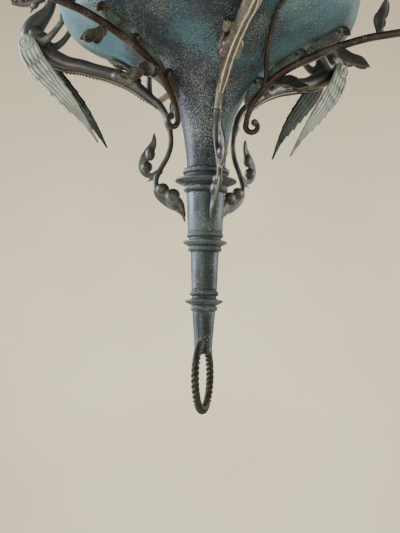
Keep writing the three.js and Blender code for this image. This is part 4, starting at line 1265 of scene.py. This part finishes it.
@dataclass(frozen=True)
class Wing:
    """One wing: a scrolled shoulder, three rows of scalloped coverts and long feathers to a thin tip."""

    hand: int
    flank: float = 18.0
    half_width: float = 14.5
    thickness: float = 3.0
    feathers: int = 5
    across: int = 96
    per_span: int = 26
    root: Place = PROFILE.by_rim(178, 53)

    def form(self) -> Form:
        """The closed wing in the dragon's own plane."""
        u = np.cos(np.linspace(math.pi, 0, self.across))
        outer, thick, along = self._plan(u)
        rim = np.sqrt(np.clip(1 - u[None, :] ** 8, 0, 1))
        outer[..., 1] += thick * (0.25 + 0.75 * self._face(along, u[None, :])) * rim
        back = u[::-1][1:-1:2]
        inner = self._plan(back)[0]
        inner[..., 1] -= thick * 0.75 * np.sqrt(np.clip(1 - back[None, :] ** 4, 0, 1))
        return self._closed(outer, inner, self._shoulder())

    def painted_shade_lining(self) -> Form:
        """The wing's inner face, ribbed along the feathers, which takes a dark finish as painted shade on the shadowed
        inside of the wing.
        """
        u = np.cos(np.linspace(math.pi, 0, self.across // 2)) * 0.985
        outer, thick, _ = self._plan(u)
        depth = thick * 0.75 * np.sqrt(np.clip(1 - u[None, :] ** 4, 0, 1))
        outer[..., 1] -= depth - 0.4
        back = u[::-1][1:-1]
        inner = self._plan(back)[0]
        ribs = 0.25 * np.cos(back * math.pi * self.feathers)
        inner[..., 1] -= depth[:, ::-1][:, 1:-1] + 0.4 + ribs[None, :]
        return self._closed(outer, inner, [])

    def _plan(self, u: np.ndarray) -> tuple[np.ndarray, np.ndarray, np.ndarray]:
        """The middle of the wing's thickness.

        Args:
            u: Places across its width, from -1 to 1.

        Returns:
            The points row by row, the thickness and the share of the length at each row.
        """
        (out, _, up), flank = self.root, self.flank
        stations = [
            (out + 1, flank, up + 6, 0.7), (out - 3, flank + 2.5, up - 9, 1.0), (out - 16, flank + 4, up - 31, 1.0),
            (out - 35, flank + 5, up - 53, 0.94), (out - 61, flank + 5, up - 82, 0.72),
            (out - 86, flank + 2.6, up - 112, 0.32), (out - 105, flank - 1, up - 141, 0.06),
        ]
        run = smooth_run(stations, self.per_span)
        path, share = run[:, :3], run[:, 3:]
        steps = np.r_[0, np.cumsum(np.linalg.norm(np.diff(path, axis=0), axis=1))]
        along = (steps / steps[-1])[:, None]
        tangent = unit(np.gradient(path, axis=0) * np.array([1.0, 0.0, 1.0]))
        sideways = np.stack([-tangent[:, 2], np.zeros(len(path)), tangent[:, 0]], -1)
        width = self.half_width * share * self._edge(along, u[None, :])
        points = path[:, None, :] + sideways[:, None, :] * (u[None, :] * width)[..., None]
        return points, self.thickness * (0.35 + 0.65 * share), along

    def _closed(self, outer: np.ndarray, inner: np.ndarray, more: list[Form]) -> Form:
        """One closed form of both faces and whatever else, on the wing's own side of the dragon."""
        skin = Form.tube(np.concatenate([outer, inner], axis=1))
        joined = Form.joined([Form(skin.points, [face[::-1] for face in skin.faces]), *more])
        return joined if self.hand > 0 else joined.mirrored()

    def _face(self, s: np.ndarray, u: np.ndarray) -> np.ndarray:
        """Relief of the outer face, from 0 to about 1.

        Args:
            s: Share of the wing's length.
            u: Share of its width, from -1 to 1.

        Returns:
            The relief.
        """
        w = (u * 0.5 + 0.5) * self.feathers % 1.0
        shingle = np.sqrt(np.clip(1 - (2 * w - 1) ** 2, 0, 1)) ** 0.7 * 0.6 + 0.28 * w
        quill = 0.3 * np.exp(-(((w - 0.5) / 0.07) ** 2))
        barbs = 0.05 * np.sin(2 * math.pi * (s * 120 - np.abs(w - 0.5) * 5))
        relief = (shingle + quill + barbs) * (0.9 - 0.25 * s)
        for number, (first, last, count) in enumerate(((0.32, 0.44, 6), (0.2, 0.34, 5), (0.07, 0.22, 5))):
            across = ((u * 0.5 + 0.5) * count + 0.5 * (number % 2)) % 1.0 - 0.5
            off_middle = 2 * np.abs(across)
            inside = (s >= first) & (s <= last - 0.07 * off_middle**2)
            depth = np.clip((s - first) / (last - first), 0, 1)
            covert = 0.45 + 0.5 * depth + 0.14 * np.exp(-((across / 0.08) ** 2)) - 0.5 * off_middle**4
            relief = np.where(inside, covert + 0.12 * number, relief)
        return np.where(s < 0.07, 0.8, relief)

    @staticmethod
    def _edge(s: np.ndarray, u: np.ndarray) -> np.ndarray:
        """How far the edge reaches at each place: feather tips step in along the outer edge."""
        step = (s * 10) % 1.0
        saw = 0.3 * (step**2 - 0.4) * np.clip((s - 0.3) * 5, 0, 1)
        return 1.0 + saw * np.clip(u, 0, 1) + 0.4 * saw * np.clip(-u, 0, 1)

    def _shoulder(self) -> list[Form]:
        """The round shoulder with its scroll and boss."""
        x, y, z = self.root[0] + 1, self.flank + 2, self.root[2]
        spiral, steps = [], 25
        for step in range(steps + 1):
            turn = math.radians(step / steps * 600 + 200)
            radius = 10.6 - 8.0 * step / steps
            place = (x + math.cos(turn) * radius, y + 2.6 + step * 0.06, z + math.sin(turn) * radius)
            spiral.append((*place, 1.9 - step * 0.02))
        return [
            ellipsoid((x, y, z), (11.8, 4.4, 11.8), 0, 20, 40),
            swept(spiral, 14, 5),
            ellipsoid((x, y + 4.2, z), (3.0, 2.2, 3.0)),
        ]


# Brackets under the tails


@dataclass(frozen=True)
class Bracket:
    """An S rod that carries a lower leaf, a side leaf with its berry and a spur."""

    number: int
    azimuth: float

    def build(self, shop: "Workshop") -> None:
        """Makes the casting."""
        out, _, up = PROFILE.by_trumpet(61, 17)
        rod = 3.5
        stations = [
            (out + 1, 0, up + 1, rod + 1.6), (out - 1, 0, up - 4, rod + 1.2), (out - 3, 0, up - 12, rod),
            (out - 4, 0, up - 28, rod), (out + 0.5, 0, up - 44, rod), (out + 9, 0, up - 59, rod),
            (out + 15, 0, up - 73, rod), (out + 14, 0, up - 86, rod),
        ]
        forms = [swept(stations, 18, 6), *self._lower_leaf(out + 14, up - 86), *self._side_leaf(out + 9, up - 59)]
        spur = [(out + 9, 0, up - 63, 3.2), (out + 17, 0, up - 70, 2.6), (out + 28, 0, up - 75.5, 0.7)]
        forms.append(swept(spur, 14, 5, flat=0.7))
        casting = fused(forms, voxel=0.6, easing=2).turned(self.azimuth)
        shop.set_piece(f"bracket_{self.number}", casting, Finish.LEAF)

    @staticmethod
    def _rim(line: Rows, radius: float) -> Form:
        """A bead along a leaf's edge."""
        return swept([(x, 0, z, radius) for x, z in line], 12, 4)

    def _lower_leaf(self, x: float, z: float) -> list[Form]:
        """Two smooth round swellings and a tip that nears the stem."""
        outer = curve_through((x + 3.4, z + 4), (x + 3, z - 4), (x - 4, z - 14), (x - 17, z - 24), (x - 30, z - 30),
                              (x - 36, z - 36), (x - 38.6, z - 42))
        inner = curve_through((x - 1, z + 6), (x - 9, z + 2), (x - 18, z - 3), (x - 28, z - 9), (x - 35, z - 17),
                              (x - 38, z - 28), (x - 39.4, z - 42))
        return [
            blade(outer, inner, 5.4, 1.2),
            ellipsoid((x - 8, 0, z + 0.4), (8.8, 6.4, 7.8)), ellipsoid((x - 22, 0, z - 8), (9.6, 5.8, 8.6)),
            self._rim(outer[::6], 1.5), self._rim(inner[24::5], 1.3),
        ]

    def _side_leaf(self, x: float, z: float) -> list[Form]:
        """A thin stalk that curls up into a berry, a swelling and a tip."""
        outer = curve_through((x + 2, z - 5), (x + 13, z - 11), (x + 24, z - 6.5), (x + 29.5, z + 5), (x + 27, z + 17),
                              (x + 19, z + 28), (x + 12.5, z + 37), (x + 10, z + 48))
        inner = curve_through((x + 4, z + 0), (x + 13, z - 5), (x + 19, z - 1), (x + 18, z + 8), (x + 15, z + 16),
                              (x + 8, z + 26), (x + 6.5, z + 36), (x + 9.4, z + 48))
        return [
            blade(outer, inner, 5.0, 1.0), self._rim(outer[::6], 1.6),
            ellipsoid((x + 19, 0, z + 3), (7.4, 6.6, 7.4)), ellipsoid((x + 14.5, 0, z + 20), (6.4, 4.6, 9.0)),
        ]


# Branch arms with their leaves, pans and cups


@dataclass(frozen=True)
class Leaf:
    """A leaf of three cupped petals that springs from an arm.

    Petals are rows of how far along and aside, half length, half width and turn. The tip is how far along and aside.
    """

    name: str
    part: float
    lean: float
    twist: float
    curl: float
    petals: tuple[tuple[float, float, float, float, float], ...]
    tip: tuple[float, float]

    def form(self, route: np.ndarray, stations: int) -> Form:
        """The closed leaf, in the arm's own plane.

        Args:
            route: Points along the arm, evenly spread between its stations.
            stations: How many stations the arm has.

        Returns:
            The leaf.
        """
        at = self.part / (stations - 1) * (len(route) - 1)
        low = int(at)
        root = route[low] + (route[low + 1] - route[low]) * (at - low)
        direction = route[low + 1] - route[low]
        flat = self._flat()
        along, lift, aside = flat.points[:, 0], -flat.points[:, 1], flat.points[:, 2]
        bend, radius = along / self.tip[0] * self.curl, self.tip[0] / self.curl
        curled = np.stack([(radius - lift) * np.sin(bend), aside, radius - (radius - lift) * np.cos(bend)], -1)
        turn = Matrix.Rotation(math.radians(self.lean) - math.atan2(direction[2], direction[0]), 3, "Y")
        turn = turn @ rotation(self.twist, "X")
        return Form(curled @ np.array(turn).T + root, flat.faces)

    def _flat(self) -> Form:
        """The leaf before it curls, along X with its petals aside in Z."""
        forms, reach = [], []
        for number, (x, z, long, wide, turn) in enumerate(self.petals):
            forms.append(lobe((x, 0.9 * number, z), long, wide, turn))
            angle = math.radians(turn)
            reach.append((x, z, 0.9 / math.hypot(math.sin(angle) / long, math.cos(angle) / wide)))
        (x0, z0, *_), (x1, z1, *_), (x2, z2, *_) = self.petals
        tip_x, tip_z = self.tip
        edges = []
        for side in (-1, 1):
            middle = [(x, z + side * half) for x, z, half in reach]
            edges.append(curve_through((-1, side * 2.2), *middle, (tip_x + 3, tip_z + side * 0.4)))
        forms.append(blade(*edges, 3.6, 0.5).moved((0, -1.2, 0)))
        forms.append(swept([(-2, 0, 0, 2.7), (x0 * 0.5, 0, z0 * 0.4, 2.4), (x0 + 3, -0.6, z0 * 0.5, 2.0)], 14, 5))
        rib = [(x0 - 4, 0.4, z0 * 0.4, 1.5), ((x0 + x1) / 2, 0.7, (z0 + z1) / 4, 1.5), (x1 + 4, 1.2, z1 * 0.4, 1.4)]
        forms.append(swept([*rib, (x2, 2.0, z2, 1.2), (tip_x, 3.2, tip_z, 0.7)], 12, 6))
        return fused(forms, voxel=0.5, easing=1)


@dataclass(frozen=True)
class Arm:
    """A branch arm from its scroll beside the trumpet to the candle."""

    number: int
    azimuth: float
    leaves: tuple[Leaf, ...] = (
        Leaf(
            "inner", 3.4, 53, 68, 0.25,
            petals=((9, 0, 8, 7, 20), (23, 3.5, 12, 9.5, -14), (38, -3.5, 12, 7.5, 14)), tip=(51, -6),
        ),
        Leaf(
            "middle", 6.9, 50, 74, -0.12,
            petals=((9, -3, 8, 6.5, 55), (21, -4.5, 11.5, 8.5, 42), (34, 0, 12.5, 7.8, 2)), tip=(47, 1),
        ),
        Leaf(
            "outer", 8.4, -74, 74, 0.2,
            petals=((8, 2, 7, 5, -40), (20, 4.5, 11, 7.5, -34), (33, 0.5, 12.5, 6.6, 8)), tip=(47, -3),
        ),
    )
    webs: tuple[tuple[float, float], ...] = ((0.26, 0.345), (0.375, 0.618), (0.65, 0.893))
    reach: float = 400.0
    top: float = BowlProfile.base + 241.0

    def build(self, shop: "Workshop") -> None:
        """Makes the arm, its webs, leaves, pan and cup."""
        name = f"arm_{self.number}"
        route = self._route()
        forms = [swept(route, 20, 6), *self._scroll(route[0])]
        for _, hook_share in self.webs:
            forms += self._hook(hook_share)
        shop.set_piece(name, fused(forms, voxel=0.65, easing=2).turned(self.azimuth), Finish.ARM)
        webs = Form.joined([self._web(*web) for web in self.webs]).turned(self.azimuth)
        # The fins take a paler finish than the bowl: real speckled patina, lightened as painted light.
        shop.set_piece(f"{name}_webs", webs, Finish.LIT_WEB, name, easing=1)
        run = smooth_run(route, 10)[:, :3]
        for leaf in self.leaves:
            form = leaf.form(run, len(route)).turned(self.azimuth)
            shop.set_piece(f"leaf_{leaf.name}_{self.number}", form, Finish.LEAF, easing=1)
        for label, outline, sides, finish in (
            ("candle_pan", self._pan(), 140, Finish.ARM), ("candle_cup", self._cup(), 110, Finish.LEAF),
        ):
            form = spun(outline, sides).moved((self.reach, 0, 0)).turned(self.azimuth)
            shop.set_piece(f"{label}_{self.number}", form, finish)

    def _route(self) -> list[tuple[float, float, float, float]]:
        """Stations of the rod."""
        p, reach, top = PROFILE, self.reach, self.top
        return [
            (*p.by_trumpet(52, 18.5), 3.8), (*p.by_trumpet(67, 17.4), 3.8), (*p.by_trumpet(82, 18.6), 4.1),
            (*p.under(0.4, 20), 4.5), (*p.under(0.48, 17.5), 4.7), (*p.under(0.61, 17), 5), (*p.under(0.75, 19), 5),
            (*p.under(0.875, 22), 5), (*p.by_rim(156, 10.5), 5), (*p.by_rim(160, 50), 5), (reach - 100, 0, top - 75, 5),
            (reach - 42, 0, top - 63, 5), (reach - 12, 0, top - 45, 5), (reach, 0, top - 26, 5), (reach, 0, top - 5, 5),
        ]

    @staticmethod
    def _scroll(start: tuple[float, ...]) -> list[Form]:
        """The scroll at the rod's low end, with its round eye."""
        stations, steps, size = [], 12, 9.5
        for step in range(steps + 1):
            turn = math.pi * (1 + 1.35 * step / steps)
            radius = size * (1 - 0.46 * step / steps)
            place = (start[0] + size + math.cos(turn) * radius, 0, start[2] + math.sin(turn) * radius)
            stations.append((*place, 3.8 - 0.7 * step / steps))
        x, _, z, _ = stations[-1]
        return [swept(stations, 18, 4), ellipsoid((x, 0, z), (4.7, 4.7, 4.7))]

    @staticmethod
    def _hook(share: float) -> list[Form]:
        """The round hook at a web's outer end: a bead from the rod up to the dish, and a small scroll.

        Args:
            share: Where it meets the dish, as a share of the bowl's profile.

        Returns:
            The bead and the scroll.
        """
        (x, _, z), foot = PROFILE.under(share, 1.5), PROFILE.under(share + 0.035, 18)
        bead = [
            (x - 4, 0, z - 0.4, 1.8), (x + 1.5, 0, z + 0.6, 2.7), (x + 6.5, 0, z - 2.7, 3.0),
            (x + 8.5, 0, z - 9, 3.0), (foot[0], 0, foot[2], 3.1),
        ]
        turns = np.radians(np.linspace(60, -200, 8))
        curl = [(x + 4.2 * math.cos(a), 0, z - 4.4 + 4.2 * math.sin(a), 2.0) for a in turns]
        return [swept(bead, 14, 4), swept(curl, 12, 3), ellipsoid((x - 3.4, 0, z - 5.4), (2.9, 3.6, 2.9))]

    @staticmethod
    def _web(start_share: float, hook_share: float) -> Form:
        """A fin between rod and bowl, with a bead along its upper edge.

        Args:
            start_share: Where it leaves the rod, as a share of the bowl's profile.
            hook_share: Where it meets the dish.

        Returns:
            The closed fin.
        """
        foot = PROFILE.under(hook_share + 0.035, 18)
        shares = np.linspace(start_share, hook_share, 9)
        drops = 1.6 + 8.0 * (1 - np.linspace(0, 1, 9)) ** 5
        upper = [tuple(PROFILE.under(share, drop)[::2]) for share, drop in zip(shares, drops, strict=True)]
        lower = [tuple(PROFILE.under(share, 18.5)[::2]) for share in shares[:-1]] + [(foot[0], foot[2])]
        edge = [(x, 0, z - 0.6, 2.2) for x, z in upper]
        return fused([blade(lower, upper, 5.6, 0.9), swept(edge, 12, 3)], voxel=0.6, easing=2)

    def _pan(self) -> Outline:
        """The drip pan's outline."""
        base = self.top + FIT_GAP
        floor = base + 6.4
        return [
            (AXIS, base), (9, base),
            *curve_through((9.6, base + 0.4), (12, base + 3), (33, base + 4), (38.6, base + 10), steps=6),
            *arc((38.2, base + 10.2), 0.8, -20, 200, 6),
            *curve_through((36.4, base + 9), (31.8, floor), (20, floor), steps=5), (AXIS, floor),
        ]

    def _cup(self) -> Outline:
        """The candle cup's outline."""
        base = self.top + 7.0
        return [
            (AXIS, base), (11.5, base),
            *curve_through((12.3, base + 0.5), (13.5, base + 3), (13, base + 12), (14.6, base + 34), steps=5),
            *arc((14.1, base + 37.6), 1.4, -60, 100, 8), (12.4, base + 40), (11.2, base + 39.4),
            (11.2, base + 5), (AXIS, base + 5),
        ]


def build_conduit(shop: "Workshop") -> None:
    """Makes the thin pipe beside the first arm."""
    stations = []
    for share, turn, drop in (
        (0.385, 0, 20), (0.41, 6.4, 10), (0.453, 18.3, 8), (0.51, 27.7, 8), (0.6, 35, 8), (0.72, 41.5, 8),
        (0.84, 45, 8), (0.925, 44, 7.5), (0.955, 43, 2),
    ):
        out, _, up = PROFILE.under(share, drop)
        angle = -math.radians(turn)
        stations.append((out * math.cos(angle), out * math.sin(angle), up, 3.0))
    shop.set_piece("conduit", swept(stations, 18, 8, aside=None).turned(ARM_AZIMUTHS[0]), Finish.ARM)


# Stage


@dataclass(frozen=True)
class Stage:
    """The room: floor and wall in one sweep, soft lamps and the camera of the photograph."""

    floor_height: float = -2.35
    flat_radius: float = 4.6
    bend: float = 1.5
    wall_height: float = 4.2

    def build(self) -> None:
        """Sets up everything around the chandelier."""
        self._floor()
        self._lamps()
        self._camera()

    def _floor(self) -> None:
        """A round floor that sweeps up into a wall."""
        graph = Graph("plaster")
        tint = graph.noise(0.7, 3.0, 0.5)
        colour = graph.mix(tint.eased(0.35, 0.65), seen(236, 228, 207), seen(228, 219, 196))
        material = graph.finish({"Base Color": colour, "Roughness": 0.9})
        quarter = arc((self.flat_radius, self.floor_height + self.bend), self.bend, -90, 0, 24)
        rows = [(0.001, self.floor_height), *quarter, (self.flat_radius + self.bend, self.wall_height)]
        sides = 128
        angle = full_turn(sides)
        points = np.vstack([np.stack([r * np.cos(angle), r * np.sin(angle), np.full(sides, z)], -1) for r, z in rows])
        faces = [face[::-1] for face in grid_faces(len(rows), sides, wrap_columns=True)]
        mesh = mesh_of(Form(points, faces), "floor", scale=1.0, lowered=0.0)
        mesh.shade_smooth()
        mesh.materials.append(material)
        linked("floor", mesh)

    def _lamp(
        self, name: str, place: Sequence[float], aim: Sequence[float], power: float, size: float, colour: Colour,
    ) -> None:
        """Adds one soft square lamp.

        Args:
            name: The lamp's name.
            place: Where it hangs, as the camera sees it: X to the right, Y away from the camera.
            aim: The point that it faces.
            power: Watts.
            size: Metres across.
            colour: Its colour.
        """
        data = bpy.data.lights.new(name, "AREA")
        data.energy = power
        data.size = size
        data.color = colour
        lamp, turn = linked(name, data), rotation(CAMERA_TURN, "Z")
        lamp.location = turn @ Vector(place)
        lamp.rotation_euler = (turn @ (Vector(aim) - Vector(place))).to_track_quat("-Z", "Y").to_euler()
        lamp.visible_camera = False

    def _lamps(self) -> None:
        """Daylight from the left, weaker light from the right, a soft room and lit walls."""
        world = bpy.data.worlds.new("room")
        world.use_nodes = True
        sockets = world.node_tree.nodes["Background"].inputs
        sockets["Color"].default_value, sockets["Strength"].default_value = (0.85, 0.87, 0.9, 1.0), 0.2
        bpy.context.scene.world = world
        bowl = (0.0, 0.0, -0.5)
        self._lamp("window", (-2.7, 0.55, 0.1), bowl, 120.0, 1.5, (0.93, 0.97, 1.0))
        self._lamp("side", (2.6, 0.7, -0.1), bowl, 36.0, 1.4, (0.92, 0.97, 1.0))
        self._lamp("front", (-1.6, -2.6, -1.0), bowl, 26.0, 1.6, (1.0, 0.98, 0.95))
        for step, power in enumerate((100.0, 40.0, 18.0, 40.0)):
            angle = math.radians(90 - 90 * step)
            out, height = np.array([math.cos(angle), math.sin(angle)]), -0.6
            self._lamp(f"wall_{step}", (*out * 3.0, height), (*out * 6.0, height), power, 2.6, (1.0, 0.97, 0.92))

    def _camera(self) -> None:
        """The photograph's camera, as its fit gave it."""
        focal_pixels, photo_height, sensor = 1090, 533, 36.0
        pitch, roll, yaw = math.radians(6.36), math.radians(0.98), -math.atan(4.6 / focal_pixels)
        forward = Vector((math.sin(yaw) * math.cos(pitch), math.cos(yaw) * math.cos(pitch), math.sin(pitch)))
        level = Vector((math.cos(yaw), -math.sin(yaw), 0.0))
        raised = level.cross(forward)
        right = level * math.cos(roll) + raised * math.sin(roll)
        upward = raised * math.cos(roll) - level * math.sin(roll)
        turn = rotation(CAMERA_TURN, "Z")
        axes = Matrix((turn @ right, turn @ upward, turn @ -forward)).transposed()
        data = bpy.data.cameras.new("camera")
        data.lens = sensor * focal_pixels / photo_height
        camera = linked("camera", data)
        camera.matrix_world = Matrix.Translation(turn @ Vector((0.0, -1.37, -0.8265))) @ axes.to_4x4()
        bpy.context.scene.camera = camera


def main() -> None:
    """Builds the chandelier from the ring up, then the room around it."""
    logging.basicConfig(level=logging.INFO, format="%(message)s")
    shop = Workshop()
    PullRing().build(shop)
    Stem().build(shop)
    Vessel().build(shop)
    for number, (dragon, arm) in enumerate(zip(DRAGON_AZIMUTHS, ARM_AZIMUTHS, strict=True), 1):
        Dragon(number, dragon, winged=number != WINGLESS_DRAGON).build(shop)
        Bracket(number, dragon).build(shop)
        Arm(number, arm).build(shop)
    build_conduit(shop)
    Stage().build()
    log.info("%d pieces", shop.count)


if __name__ == "__main__":
    main()
